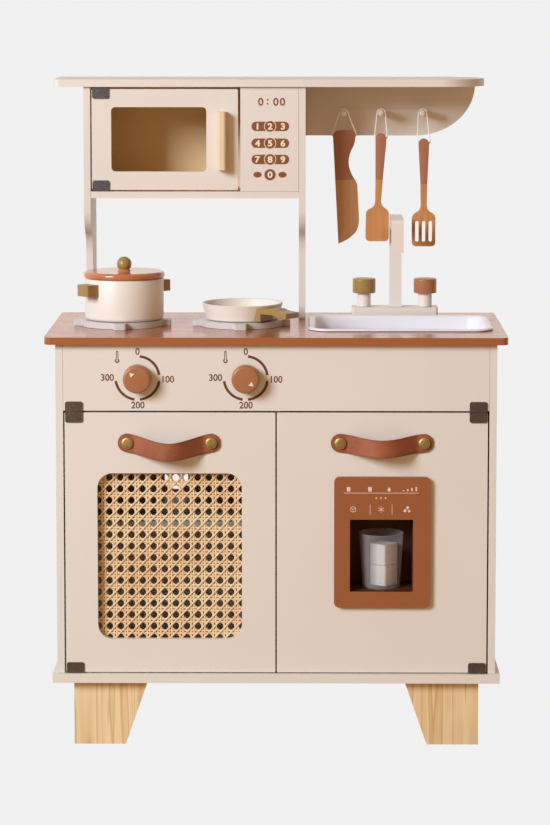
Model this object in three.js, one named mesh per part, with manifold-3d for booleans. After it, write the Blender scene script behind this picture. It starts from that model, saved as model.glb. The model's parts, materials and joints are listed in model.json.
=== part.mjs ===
// Toy kitchen, built as an assembly of separate wooden boards, doors, fittings and loose cookware.
// Units are millimetres, +Z is up, the doors face -Y, and the floor is Z = 0.

import * as THREE from 'three';
import { mergeVertices } from 'three/addons/utils/BufferGeometryUtils.js';
import Module from 'manifold-3d';

const wasm = await Module();
wasm.setup();

// ---------------------------------------------------------------- driving dimensions
const GAP = 0.3; // clearance between touching pieces
const CENTRE_Y = 8.85; // moves the cabinet back so that the handles and the rear edge straddle the origin

// cabinet
const COUNTER = { x: 300, front: -150, rear: 150, z0: 530.5, z1: 540 };
const BOARD = 9.5; // cabinet board thickness
const SIDE_X = 286; // outer face of the side panels
const FRONT = -140; // front face of doors, sides and fascia
const REAR = 140.2;
const BASE = { x: 292, front: -145, rear: 150, z0: 85, z1: 97 };
const FASCIA = { z0: 443.5, z1: 530.2 };
const DOOR = { z0: 98.5, z1: 441, inner: 1.0, outer: 274.5 };
const BACK_HOLE = { x: -141.6, z: 309, r: 16.5 };
const SHELF = { z0: 277.5, z1: 287, front: -80 };
const FOOT = { outer: 265, topInner: 168, bottomInner: 197.5, h: 84.7, t: 18 };

// door pivots
const PIVOT_IN = 11; // pivot centre from the hinge edge of a door
const PIN_R = 1.5;
const PIN_HOLE_R = 1.8;
const DOOR_PIVOT_X = DOOR.outer - PIVOT_IN;
const DOOR_PIVOT_Y = FRONT + BOARD / 2;
const PLATE = { w: 23, h: 13, t: 1.1 };

// oven window and cane sheet
const WINDOW = { x0: -232.5, x1: -44.5, z0: 142.2, z1: 361.5, r: 20 };
const CANE_T = 2;

// strap handles
const STRAP = { half: 54.4, end: 12.2, z: 401.6, t: 2.4, bulge: 25, headR: 7.6 };
const OVEN_STRAP_X = -138.85;
const COLD_STRAP_X = 137.55;

// drink dispenser in the cold door
const DISP = { x0: 75.5, x1: 200.2, z0: 185.7, z1: 357.7, proud: 6, r: 7 };
const NICHE = { x0: 96, x1: 178, z0: 207, z1: 302, depth: 70, wall: 3 };
const CUP = { x: 137.6, y: -110, z: 207.3, topR: 29.5, botR: 24.7, h: 72, wall: 1.4 };
const ICE = { side: 26.5, x: 144, y: -110 };

// hutch
const HUTCH = { z0: 540.3, z1: 856.7, t: 9, leftX: -260, rightX: 29, front: 30, lowFront: 68, rear: 140.7 };
const TOP = { x0: -300, x1: 280, y0: 25, y1: 150, z0: 857, z1: 867 };
const BACKBOARD = { x0: -260, x1: 271, y0: 141, y1: 150, z0: 707.5, zPeg: 786.5, step: 29.5 };
const MICRO = { floor0: 707.5, floor1: 716.5, y0: 30 };
const MDOOR = { x0: -249, x1: -52.7, z0: 718.5, z1: 854, y0: 30, y1: 39 };
const MWIN = { x0: -222.8, x1: -95.1, z0: 743.3, z1: 829.8, r: 5.5 };
const MPANEL = { x0: -49.5, x1: 28.6, z0: 716.8, z1: 856.4 };
const MHANDLE = { x: -74.4, w: 12, z0: 746, z1: 824, out: 17 };
const PEG = { z: 819, r: 4.5, tip: 101, x: [90, 141.3, 197.6] };

// worktop fittings
const BURNER = { x: [-206.5, -47.4], y: -7, r: 54.5, lobe: 17, reach: 65, h: 8.5 };
const POT = { x: -204, y: -7, r: 52.5, z0: 549.1, z1: 604, wall: 3 };
const LID = { r: 54.25, z0: 604.3, z1: 613, knobR: 9.8, knobZ: 622.3 };
const PAN = { x: -46.2, y: -7, topR: 53.8, botR: 48.5, z0: 549.1, z1: 571, wall: 3.2 };
const PAN_HANDLE = { azimuth: -35.5, near: 29, width: 29, length: 93 };
const SINK = { x0: 42, x1: 286, y0: -82, y1: 95, r: 27, rim: 9, lip: 3, depth: 52, wall: 2.4 };
const FAUCET = { x0: 102, x1: 220, y0: 103, y1: 135, h: 11.7, x: 161.8, w: 16.4, y: 119, top: 679.5, headY: 25, headZ: 634.5 };
const TAP = { x: [118.9, 202.8], y: 119, stemR: 9.25, capR: 15.75, z0: 552.3, z1: 571, z2: 591 };
const KNOB = { x: [-179.6, -39.4], z: 486.3, r: 18, out: 20, spindle: 4 };

// utensils
const UTENSIL = { y: 105, t: 6 };
const CORD = { r: 0.8, bend: 3.4 };

// ---------------------------------------------------------------- colours
const COLOURS = {
  cream: [0xe8d8c8, 0.45, 0],
  terracotta: [0xb5693f, 0.3, 0],
  pine: [0xe6c391, 0.6, 0],
  peg_wood: [0xe9d3b2, 0.55, 0],
  steel: [0x6f6a64, 0.4, 0.8],
  cane: [0xd9b684, 0.7, 0],
  leather: [0xa95f40, 0.5, 0],
  olive: [0xa08444, 0.4, 0],
  grey: [0xd4cdc8, 0.5, 0],
  white: [0xe9e4ea, 0.25, 0],
  clear: [0xb9bac6, 0.1, 0],
  ice: [0xd8cfc8, 0.3, 0],
  beech: [0xb5824e, 0.55, 0],
  cord: [0xeee6dc, 0.8, 0],
  rail_wood: [0xc69a6c, 0.5, 0],
};
const material = (key) => {
  const [color, roughness, metalness] = COLOURS[key];
  const m = new THREE.MeshStandardMaterial({ color, roughness, metalness });
  if (key === 'clear') { m.transparent = true; m.opacity = 0.4; }
  return m;
};

const kitchen = new THREE.Group();
kitchen.position.y = CENTRE_Y;
const groups = {};
const group = (name) => (groups[name] ??= (() => { const g = new THREE.Group(); kitchen.add(g); return g; })());

// ---------------------------------------------------------------- geometry helpers
const add = (where, name, geometry, colour) => {
  const mesh = new THREE.Mesh(geometry, material(colour));
  mesh.name = name;
  group(where).add(mesh);
  return mesh;
};

const block = (x0, x1, y0, y1, z0, z1) => {
  const g = new THREE.BoxGeometry(x1 - x0, y1 - y0, z1 - z0);
  g.translate((x0 + x1) / 2, (y0 + y1) / 2, (z0 + z1) / 2);
  return g;
};

const panel = (where, name, x0, x1, y0, y1, z0, z1, colour) => {
  const mesh = add(where, name, new THREE.BoxGeometry(x1 - x0, y1 - y0, z1 - z0), colour);
  mesh.position.set((x0 + x1) / 2, (y0 + y1) / 2, (z0 + z1) / 2);
  return mesh;
};

const solid = (geometry) => {
  const g = geometry.clone();
  g.deleteAttribute('normal');
  g.deleteAttribute('uv');
  const m = mergeVertices(g, 1e-4);
  return new wasm.Manifold(new wasm.Mesh({
    numProp: 3,
    vertProperties: new Float32Array(m.attributes.position.array),
    triVerts: new Uint32Array(m.index.array),
  }));
};

const geometryOf = (manifold) => {
  const mesh = manifold.getMesh();
  const g = new THREE.BufferGeometry();
  g.setAttribute('position', new THREE.BufferAttribute(new Float32Array(mesh.vertProperties), 3));
  g.setIndex(new THREE.BufferAttribute(new Uint32Array(mesh.triVerts), 1));
  const flat = g.toNonIndexed();
  flat.computeVertexNormals();
  return flat;
};

const cut = (geometry, ...tools) => {
  let m = solid(geometry);
  for (const t of tools) m = m.subtract(solid(t));
  return geometryOf(m);
};

const join = (geometry, ...others) => {
  let m = solid(geometry);
  for (const t of others) m = m.add(solid(t));
  return geometryOf(m);
};

// an outline drawn in (X, Z), standing from y0 to y1
const upright = (shape, y0, y1, segments = 6) => {
  const g = new THREE.ExtrudeGeometry(shape, { depth: y1 - y0, bevelEnabled: false, curveSegments: segments });
  g.rotateX(Math.PI / 2);
  g.translate(0, y1, 0);
  return g;
};

// an outline drawn in (X, Y), lying from z0 to z1
const flat = (shape, z0, z1, segments = 6) => {
  const g = new THREE.ExtrudeGeometry(shape, { depth: z1 - z0, bevelEnabled: false, curveSegments: segments });
  g.translate(0, 0, z0);
  return g;
};

// an outline drawn in (Y, Z), reaching from x0 to x1
const sideways = (shape, x0, x1, segments = 6) => {
  const g = new THREE.ExtrudeGeometry(shape, { depth: x1 - x0, bevelEnabled: false, curveSegments: segments });
  g.applyMatrix4(new THREE.Matrix4().makeBasis(
    new THREE.Vector3(0, 1, 0), new THREE.Vector3(0, 0, 1), new THREE.Vector3(1, 0, 0)));
  g.translate(x0, 0, 0);
  return g;
};

const roundedRect = (x0, y0, x1, y1, r) => {
  const rs = Array.isArray(r) ? r : [r, r, r, r]; // corners: x0y0, x1y0, x1y1, x0y1
  const s = new THREE.Shape();
  s.moveTo(x0 + rs[0], y0);
  s.lineTo(x1 - rs[1], y0);
  if (rs[1]) s.absarc(x1 - rs[1], y0 + rs[1], rs[1], -Math.PI / 2, 0, false);
  s.lineTo(x1, y1 - rs[2]);
  if (rs[2]) s.absarc(x1 - rs[2], y1 - rs[2], rs[2], 0, Math.PI / 2, false);
  s.lineTo(x0 + rs[3], y1);
  if (rs[3]) s.absarc(x0 + rs[3], y1 - rs[3], rs[3], Math.PI / 2, Math.PI, false);
  s.lineTo(x0, y0 + rs[0]);
  if (rs[0]) s.absarc(x0 + rs[0], y0 + rs[0], rs[0], Math.PI, Math.PI * 1.5, false);
  return s;
};

const polygon = (points) => new THREE.Shape(points.map(([a, b]) => new THREE.Vector2(a, b)));

// a cylinder whose axis runs along 'x', 'y' or 'z'
const rod = (axis, r, a, b, u, v, sides = 16, r2 = r) => {
  const g = new THREE.CylinderGeometry(r2, r, b - a, sides);
  g.translate(0, (a + b) / 2, 0); // along +Y from a to b
  if (axis === 'x') { g.rotateZ(-Math.PI / 2); g.translate(0, u, v); }
  if (axis === 'y') g.translate(u, 0, v);
  if (axis === 'z') { g.rotateX(Math.PI / 2); g.translate(u, v, 0); }
  return g;
};

// a turned piece about a vertical axis; the profile is (radius, z) from bottom to top
const turned = (profile, x, y, sides = 24) => {
  const g = new THREE.LatheGeometry(profile.map(([r, z]) => new THREE.Vector2(r, z)), sides);
  g.rotateX(Math.PI / 2);
  g.translate(x, y, 0);
  return g;
};

// straight-sided solid through a stack of outlines with equal point counts
const loft = (rings) => {
  const n = rings[0].length;
  const pos = rings.flat(2);
  const idx = [];
  for (let k = 0; k + 1 < rings.length; k++) {
    for (let i = 0; i < n; i++) {
      const a = k * n + i, b = k * n + (i + 1) % n, c = (k + 1) * n + (i + 1) % n, d = (k + 1) * n + i;
      idx.push(a, b, c, a, c, d);
    }
  }
  const last = (rings.length - 1) * n;
  for (let i = 1; i + 1 < n; i++) { idx.push(0, i + 1, i); idx.push(last, last + i, last + i + 1); }
  const g = new THREE.BufferGeometry();
  g.setAttribute('position', new THREE.Float32BufferAttribute(pos, 3));
  g.setIndex(idx);
  return g;
};

const ringOf = (shape, z, segments = 5) => shape.getPoints(segments)
  .filter((p, i, all) => p.distanceTo(all[(i + 1) % all.length]) > 1e-3)
  .map((p) => [p.x, p.y, z]);

// round tube along a list of points; the section is 8-sided
const tube = (points, r, steps) => {
  const section = new THREE.Shape();
  for (let i = 0; i < 8; i++) {
    const a = (i + 0.5) * Math.PI / 4;
    const R = r / Math.cos(Math.PI / 8);
    if (i === 0) section.moveTo(R * Math.cos(a), R * Math.sin(a));
    else section.lineTo(R * Math.cos(a), R * Math.sin(a));
  }
  const path = new THREE.CurvePath();
  for (let i = 0; i + 1 < points.length; i++) path.add(new THREE.LineCurve3(points[i], points[i + 1]));
  const curve = new THREE.CatmullRomCurve3(points, false, 'centripetal');
  return new THREE.ExtrudeGeometry(section, { steps, bevelEnabled: false, extrudePath: curve });
};

// ---------------------------------------------------------------- cabinet carcass
panel('cabinet', 'side_panel_left', -SIDE_X, -SIDE_X + BOARD, FRONT, REAR, BASE.z1 + GAP, COUNTER.z0 - GAP, 'cream');
panel('cabinet', 'side_panel_right', SIDE_X - BOARD, SIDE_X, FRONT, REAR, BASE.z1 + GAP, COUNTER.z0 - GAP, 'cream');

// bottom board with the two lower door pivots
add('cabinet', 'bottom_board', join(
  block(-BASE.x, BASE.x, BASE.front, BASE.rear, BASE.z0, BASE.z1),
  rod('z', PIN_R, BASE.z1 - 1, BASE.z1 + 7, -DOOR_PIVOT_X, DOOR_PIVOT_Y, 12),
  rod('z', PIN_R, BASE.z1 - 1, BASE.z1 + 7, DOOR_PIVOT_X, DOOR_PIVOT_Y, 12)), 'cream');

const sinkCut = roundedRect(SINK.x0 + SINK.rim, SINK.y0 + SINK.rim, SINK.x1 - SINK.rim, SINK.y1 - SINK.rim, SINK.r - SINK.rim);
add('cabinet', 'countertop', cut(
  flat(roundedRect(-COUNTER.x, COUNTER.front, COUNTER.x, COUNTER.rear, [9, 9, 3, 3]), COUNTER.z0, COUNTER.z1),
  flat(sinkCut, COUNTER.z0 - 1, COUNTER.z1 + 1)), 'terracotta');

const backShape = roundedRect(-SIDE_X, BASE.z1 + GAP, SIDE_X, COUNTER.z0 - GAP, 0);
add('cabinet', 'back_panel', cut(
  upright(backShape, REAR + GAP, REAR + GAP + 5),
  rod('y', BACK_HOLE.r, REAR - 2, REAR + 9, BACK_HOLE.x, BACK_HOLE.z, 32)), 'cream');

add('cabinet', 'fascia_panel', cut(
  block(-SIDE_X + BOARD + GAP, SIDE_X - BOARD - GAP, FRONT, FRONT + BOARD, FASCIA.z0, FASCIA.z1),
  ...KNOB.x.map((x) => rod('y', KNOB.spindle + 0.3, FRONT - 1, FRONT + BOARD + 1, x, KNOB.z, 20))), 'cream');

panel('cabinet', 'centre_divider', -BOARD / 2, BOARD / 2, -127, REAR, BASE.z1 + GAP, COUNTER.z0 - GAP, 'cream');
panel('cabinet', 'oven_shelf', -SIDE_X + BOARD + GAP, -BOARD / 2 - GAP, SHELF.front, REAR, SHELF.z0, SHELF.z1, 'cream');

const footShape = (s) => polygon([
  [s * FOOT.outer, 0], [s * FOOT.bottomInner, 0], [s * FOOT.topInner, FOOT.h], [s * FOOT.outer, FOOT.h]]);
for (const [name, s, y] of [
  ['foot_front_left', -1, -130], ['foot_front_right', 1, -130], ['foot_rear_left', -1, 125], ['foot_rear_right', 1, 125]]) {
  add('cabinet', name, upright(footShape(s), y, y + FOOT.t), 'pine');
}

// ---------------------------------------------------------------- upper hutch
const hutchProfile = () => {
  const s = new THREE.Shape();
  s.moveTo(HUTCH.rear, HUTCH.z0);
  s.lineTo(HUTCH.rear, HUTCH.z1);
  s.lineTo(HUTCH.front, HUTCH.z1);
  s.lineTo(HUTCH.front, 690);
  s.quadraticCurveTo(HUTCH.front + 2, 672, 50, 660);
  s.quadraticCurveTo(HUTCH.lowFront - 1, 650, HUTCH.lowFront, 628);
  s.lineTo(HUTCH.lowFront, HUTCH.z0);
  s.closePath();
  return s;
};
add('cabinet', 'hutch_side_left', sideways(hutchProfile(), HUTCH.leftX, HUTCH.leftX + HUTCH.t), 'cream');
add('cabinet', 'hutch_side_right', sideways(hutchProfile(), HUTCH.rightX, HUTCH.rightX + HUTCH.t), 'cream');

// top shelf: small corners at the left, a full half-round at the right, and the upper pivot of the microwave door
const topShape = roundedRect(TOP.x0, TOP.y0, TOP.x1, TOP.y1, [8, 62, 62, 8]);
const mPivotX = MDOOR.x0 + PIVOT_IN;
const mPivotY = (MDOOR.y0 + MDOOR.y1) / 2;
add('cabinet', 'top_shelf', join(flat(topShape, TOP.z0, TOP.z1, 12),
  rod('z', PIN_R, MDOOR.z1 - 6, TOP.z0 + 1, mPivotX, mPivotY, 12)), 'cream');

add('cabinet', 'microwave_floor', join(
  block(HUTCH.leftX + HUTCH.t + GAP, HUTCH.rightX - GAP, MICRO.y0, HUTCH.rear, MICRO.floor0, MICRO.floor1),
  rod('z', PIN_R, MICRO.floor1 - 1, MDOOR.z0 + 7, mPivotX, mPivotY, 12)), 'cream');

// one back board: the microwave's back and the peg board, whose lower right corner is a quarter ellipse
const back = new THREE.Shape();
back.moveTo(BACKBOARD.x0, BACKBOARD.z0);
back.lineTo(BACKBOARD.step + 8.5, BACKBOARD.z0);
back.lineTo(BACKBOARD.step + 8.5, BACKBOARD.zPeg);
back.lineTo(BACKBOARD.x1 - 82, BACKBOARD.zPeg);
back.absellipse(BACKBOARD.x1 - 82, TOP.z0 - GAP, 82, TOP.z0 - GAP - BACKBOARD.zPeg, -Math.PI / 2, 0, false);
back.lineTo(BACKBOARD.x0, TOP.z0 - GAP);
back.closePath();
add('cabinet', 'hutch_back', cut(upright(back, BACKBOARD.y0, BACKBOARD.y1, 10),
  ...PEG.x.map((x) => rod('y', PEG.r + 0.3, BACKBOARD.y0 - 1, BACKBOARD.y1 - 2, x, PEG.z, 16))), 'cream');

panel('cabinet', 'microwave_control_panel', MPANEL.x0, MPANEL.x1, MDOOR.y0, MDOOR.y1, MPANEL.z0, MPANEL.z1, 'cream');

['peg_left', 'peg_middle', 'peg_right'].forEach((name, i) => {
  const prof = [[0, 0], [3.2, 0.3], [4.2, 1.3], [PEG.r, 3], [PEG.r, 46.5], [0, 46.5]];
  const g = new THREE.LatheGeometry(prof.map(([r, z]) => new THREE.Vector2(r, z)), 14);
  const mesh = add('cabinet', name, g, 'peg_wood');
  mesh.position.set(PEG.x[i], PEG.tip, PEG.z);
});

// ---------------------------------------------------------------- hinge plates
// a plate on the face with a flange folded over the pivot edge; s = +1 folds over the top edge, -1 under the bottom edge
const hingePlate = (xPivot, sx, face, zEdge, s, t, reach) => {
  const x0 = sx < 0 ? xPivot - 10.2 : xPivot - (PLATE.w - 10.2);
  const x1 = x0 + PLATE.w;
  const zf0 = s > 0 ? zEdge + GAP : zEdge - GAP - t;
  const plate = block(x0, x1, face - GAP - PLATE.t, face - GAP, s > 0 ? zEdge - PLATE.h : zf0, s > 0 ? zf0 + t : zEdge + PLATE.h);
  const flange = block(x0, x1, face - GAP - PLATE.t, face + reach, zf0, zf0 + t);
  return cut(join(plate, flange), rod('z', PIN_HOLE_R, zf0 - 1, zf0 + t + 1, xPivot, face + reach - 3.95, 12));
};
const fasciaHinge = (xPivot, sx) => {
  const x0 = sx < 0 ? xPivot - 10.2 : xPivot - (PLATE.w - 10.2);
  const x1 = x0 + PLATE.w;
  const z1 = FASCIA.z0 - GAP;
  return join(
    block(x0, x1, FRONT - GAP - PLATE.t, FRONT - GAP, z1 - 0.8, FASCIA.z0 + PLATE.h - 1),
    block(x0, x1, FRONT - GAP - PLATE.t, FRONT + 8.7, z1 - 0.8, z1),
    rod('z', PIN_R, DOOR.z1 - 6, z1 - 0.3, xPivot, DOOR_PIVOT_Y, 12));
};
add('cabinet', 'fascia_hinge_left', fasciaHinge(-DOOR_PIVOT_X, -1), 'steel');
add('cabinet', 'fascia_hinge_right', fasciaHinge(DOOR_PIVOT_X, 1), 'steel');
for (const [where, prefix, xp, s] of [['oven_door', 'oven', -DOOR_PIVOT_X, -1], ['cold_door', 'cold', DOOR_PIVOT_X, 1]]) {
  add(where, `${prefix}_hinge_top`, hingePlate(xp, s, FRONT, DOOR.z1, 1, 0.7, 8.7), 'steel');
  add(where, `${prefix}_hinge_bottom`, hingePlate(xp, s, FRONT, DOOR.z0, -1, 0.6, 8.7), 'steel');
}
add('microwave_door', 'microwave_hinge_top', hingePlate(mPivotX, -1, MDOOR.y0, MDOOR.z1, 1, 0.9, 8.45), 'steel');
add('microwave_door', 'microwave_hinge_bottom', hingePlate(mPivotX, -1, MDOOR.y0, MDOOR.z0, -1, 0.8, 8.45), 'steel');

// ---------------------------------------------------------------- microwave door
const pinHoles = (x, y, z0, z1) => [
  rod('z', PIN_HOLE_R, z0 - 1, z0 + 8, x, y, 12), rod('z', PIN_HOLE_R, z1 - 8, z1 + 1, x, y, 12)];
add('microwave_door', 'microwave_door', cut(
  block(MDOOR.x0, MDOOR.x1, MDOOR.y0, MDOOR.y1, MDOOR.z0, MDOOR.z1),
  upright(roundedRect(MWIN.x0, MWIN.z0, MWIN.x1, MWIN.z1, MWIN.r), MDOOR.y0 - 1, MDOOR.y1 + 1, 4),
  ...pinHoles(mPivotX, mPivotY, MDOOR.z0, MDOOR.z1)), 'cream');
{
  // bar handle: flat against the door, rounded outward edges
  const s = roundedRect(MHANDLE.x - MHANDLE.w / 2, MDOOR.y0 - GAP - MHANDLE.out, MHANDLE.x + MHANDLE.w / 2, MDOOR.y0 - GAP, [3.5, 3.5, 0, 0]);
  add('microwave_door', 'microwave_handle', flat(s, MHANDLE.z0, MHANDLE.z1, 4), 'rail_wood');
}

// ---------------------------------------------------------------- oven door
add('oven_door', 'oven_door', cut(
  block(-DOOR.outer, -DOOR.inner, FRONT, FRONT + BOARD, DOOR.z0, DOOR.z1),
  upright(roundedRect(WINDOW.x0, WINDOW.z0, WINDOW.x1, WINDOW.z1, WINDOW.r), FRONT - 1, FRONT + BOARD + 1, 8),
  ...pinHoles(-DOOR_PIVOT_X, DOOR_PIVOT_Y, DOOR.z0, DOOR.z1)), 'cream');
panel('oven_door', 'cane_panel', WINDOW.x0 - 10, WINDOW.x1 + 10, FRONT + BOARD + GAP, FRONT + BOARD + GAP + CANE_T,
  WINDOW.z0 - 10, WINDOW.z1 + 10, 'cane');

// strap handle: a band turned a little about each screw, lying on the door there, that bows out and down between them
const strapAt = (u, droop, bend) => {
  const reach = STRAP.half - 9;
  const bow = Math.abs(u) >= reach ? 0 : 1 - (Math.hypot(u, bend) - bend) / (Math.hypot(reach, bend) - bend);
  const k = bow * bow * (3 - 2 * bow) * 0.35 + bow * 0.65;
  const v = 22, H = Math.hypot(STRAP.half, v);
  const a = Math.min(Math.abs(u), STRAP.half);
  const slope = droop * STRAP.half / H / (H - v);
  const here = droop * a / Math.hypot(a, v) / (H - v);
  const zc = -droop * (1 - (Math.hypot(a, v) - v) / (H - v)) + slope * Math.max(0, Math.abs(u) - STRAP.half);
  const half = STRAP.end * Math.hypot(1, here) * (1 - 0.04 * (1 - a / STRAP.half));
  const t = STRAP.half - Math.abs(u);
  const lean = STRAP.end * slope / Math.hypot(1, slope);
  const round = Math.sqrt(Math.max(STRAP.end ** 2 - t * t, 1));
  return { y: -STRAP.bulge * k, top: t < lean ? round : zc + half, bottom: t < -lean ? -round : zc - half };
};
const strapHandle = (xc, droop, bend) => {
  const stations = [];
  const full = STRAP.half + STRAP.end;
  for (const d of [0.25, 2, 5.5, 9.3]) stations.push(-full + d);
  for (const u of [-54.4, -51.5, -48, -42, -34, -26, -18, -12, -6, 0, 6, 12, 18, 26, 34, 42, 48, 51.5, 54.4]) stations.push(u);
  for (const d of [9.3, 5.5, 2, 0.25]) stations.push(full - d);
  const rings = stations.map((u) => {
    const p = strapAt(u, droop, bend);
    const e = 0.5;
    const slope = (strapAt(u + e, droop, bend).y - strapAt(u - e, droop, bend).y) / (2 * e);
    const n = 1 / Math.hypot(1, slope);
    const nx = -slope * n, ny = n; // unit normal in the X-Y plane, pointing back to the door
    const h = STRAP.t / 2;
    const cx = xc + u, cy = FRONT - GAP - h + p.y, z = STRAP.z;
    return [
      [cx + nx * h, cy + ny * h, z + p.bottom], [cx + nx * h, cy + ny * h, z + p.top],
      [cx - nx * h, cy - ny * h, z + p.top], [cx - nx * h, cy - ny * h, z + p.bottom]];
  });
  const y0 = FRONT - GAP - STRAP.t;
  return join(loft(rings),
    rod('y', STRAP.headR, y0 - 3.4, y0 + 0.8, xc - STRAP.half, STRAP.z, 20),
    rod('y', STRAP.headR, y0 - 3.4, y0 + 0.8, xc + STRAP.half, STRAP.z, 20));
};
add('oven_door', 'oven_strap', strapHandle(OVEN_STRAP_X, 9, 10), 'leather');
add('cold_door', 'cold_strap', strapHandle(COLD_STRAP_X, 4.6, 16), 'leather');

// ---------------------------------------------------------------- cold door and its dispenser
const nicheOut = NICHE.wall + GAP;
add('cold_door', 'cold_door', cut(
  block(DOOR.inner, DOOR.outer, FRONT, FRONT + BOARD, DOOR.z0, DOOR.z1),
  block(NICHE.x0 - nicheOut, NICHE.x1 + nicheOut, FRONT - 1, FRONT + BOARD + 1, NICHE.z0 - nicheOut, NICHE.z1 + nicheOut),
  ...pinHoles(DOOR_PIVOT_X, DOOR_PIVOT_Y, DOOR.z0, DOOR.z1)), 'cream');
add('cold_door', 'dispenser_housing', cut(
  join(
    upright(roundedRect(DISP.x0, DISP.z0, DISP.x1, DISP.z1, DISP.r), FRONT - GAP - DISP.proud, FRONT - GAP, 5),
    block(NICHE.x0 - NICHE.wall, NICHE.x1 + NICHE.wall, FRONT - 2, FRONT - GAP - DISP.proud + NICHE.depth + NICHE.wall,
      NICHE.z0 - NICHE.wall, NICHE.z1 + NICHE.wall)),
  block(NICHE.x0, NICHE.x1, FRONT - 20, FRONT - GAP - DISP.proud + NICHE.depth, NICHE.z0, NICHE.z1)), 'terracotta');

add('cup', 'cup', turned([
  [0, CUP.z], [CUP.botR - 1.5, CUP.z], [CUP.botR, CUP.z + 1.5], [CUP.topR, CUP.z + CUP.h],
  [CUP.topR - CUP.wall, CUP.z + CUP.h], [CUP.botR - CUP.wall, CUP.z + 2.5], [0, CUP.z + 2.2]], CUP.x, CUP.y, 20), 'clear');
{
  // two stacked ice blocks, one corner turned to the front
  const g = new THREE.BoxGeometry(ICE.side, ICE.side, ICE.side * 2 + 3);
  g.rotateZ(Math.PI / 4 + 0.08);
  const mesh = add('cup', 'ice_block', g, 'ice');
  mesh.position.set(CUP.x + 3.2, CUP.y + 0.3, CUP.z + 2.9 + ICE.side + 1.5);
}

// ---------------------------------------------------------------- stove knobs and taps
['stove_knob_left', 'stove_knob_right'].forEach((name, i) => {
  const f = FRONT;
  const prof = [[0, 0], [KNOB.r - 2.5, 0], [KNOB.r - 0.7, 0.7], [KNOB.r, 2.5], [KNOB.r, KNOB.out - 0.4], [KNOB.spindle, KNOB.out - 0.4],
    [KNOB.spindle, KNOB.out + BOARD + 0.8], [7.5, KNOB.out + BOARD + 0.8], [7.5, KNOB.out + BOARD + 3], [0, KNOB.out + BOARD + 3]];
  const g = new THREE.LatheGeometry(prof.map(([r, z]) => new THREE.Vector2(r, z)), 20);
  const mesh = add(name, name, g, 'terracotta');
  mesh.position.set(KNOB.x[i], f - KNOB.out, KNOB.z);
});

['tap_left', 'tap_right'].forEach((name, i) => {
  add(name, name, turned([
    [0, TAP.z0 - 6], [4, TAP.z0 - 6], [4, TAP.z0 + 0.01], [TAP.stemR, TAP.z0 + 0.01], [TAP.stemR, TAP.z1], [TAP.capR - 0.8, TAP.z1], [TAP.capR, TAP.z1 + 0.8],
    [TAP.capR, TAP.z2 - 1.8], [TAP.capR - 0.6, TAP.z2 - 0.6], [TAP.capR - 1.8, TAP.z2], [0, TAP.z2]], TAP.x[i], TAP.y, 18),
  i ? 'terracotta' : 'olive');
});

// ---------------------------------------------------------------- faucet
add('cabinet', 'faucet_base', cut(
  flat(roundedRect(FAUCET.x0, FAUCET.y0, FAUCET.x1, FAUCET.y1, 3.5), COUNTER.z1 + GAP, COUNTER.z1 + GAP + FAUCET.h, 3),
  ...TAP.x.map((x) => rod('z', 4.3, 545.8, 560, x, TAP.y, 14)),
  rod('z', 5.3, 545, 560, FAUCET.x, FAUCET.y, 14)), 'cream');
{
  const yb = FAUCET.y + FAUCET.w / 2, yf = FAUCET.y - FAUCET.w / 2;
  const s = new THREE.Shape();
  s.moveTo(yf, TAP.z0);
  s.lineTo(yb, TAP.z0);
  s.lineTo(yb, FAUCET.top - 14);
  s.absarc(yb - 14, FAUCET.top - 14, 14, 0, Math.PI / 2, false);
  s.lineTo(FAUCET.headY + 6, FAUCET.top);
  s.absarc(FAUCET.headY + 6, FAUCET.top - 6, 6, Math.PI / 2, Math.PI, false);
  s.lineTo(FAUCET.headY, FAUCET.headZ + 2);
  s.lineTo(FAUCET.headY + 2, FAUCET.headZ);
  s.lineTo(FAUCET.headY + FAUCET.w - 2, FAUCET.headZ);
  s.lineTo(FAUCET.headY + FAUCET.w, FAUCET.headZ + 2);
  s.lineTo(FAUCET.headY + FAUCET.w, FAUCET.top - FAUCET.w - 5);
  s.absarc(FAUCET.headY + FAUCET.w + 5, FAUCET.top - FAUCET.w - 5, 5, Math.PI, Math.PI / 2, true);
  s.lineTo(yf - 5, FAUCET.top - FAUCET.w);
  s.absarc(yf - 5, FAUCET.top - FAUCET.w - 5, 5, Math.PI / 2, 0, true);
  s.closePath();
  add('cabinet', 'faucet_spout', join(
    sideways(s, FAUCET.x - FAUCET.w / 2, FAUCET.x + FAUCET.w / 2, 5),
    rod('z', 5, 545.4, TAP.z0 + 1, FAUCET.x, FAUCET.y, 14)), 'cream');
}

// ---------------------------------------------------------------- sink
{
  const r = SINK.r, z1 = COUNTER.z1 + GAP;
  const inset = (d, rr) => roundedRect(SINK.x0 + d, SINK.y0 + d, SINK.x1 - d, SINK.y1 - d, rr);
  const rim = flat(inset(0, r), z1, z1 + SINK.lip, 5);
  const a = SINK.rim + 0.6, b = SINK.rim + 9, w = SINK.wall;
  const outer = loft([ringOf(inset(b, r - 12), z1 + SINK.lip - SINK.depth), ringOf(inset(a, r - SINK.rim - 0.6), z1 + 0.5)]);
  const inner = loft([ringOf(inset(b + w, r - 14), z1 + SINK.lip - SINK.depth + w), ringOf(inset(a + w - 0.6, r - SINK.rim - 2.4), z1 + SINK.lip + 2)]);
  add('cabinet', 'sink_basin', geometryOf(solid(rim).add(solid(outer)).subtract(solid(inner))), 'white');
}

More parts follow.
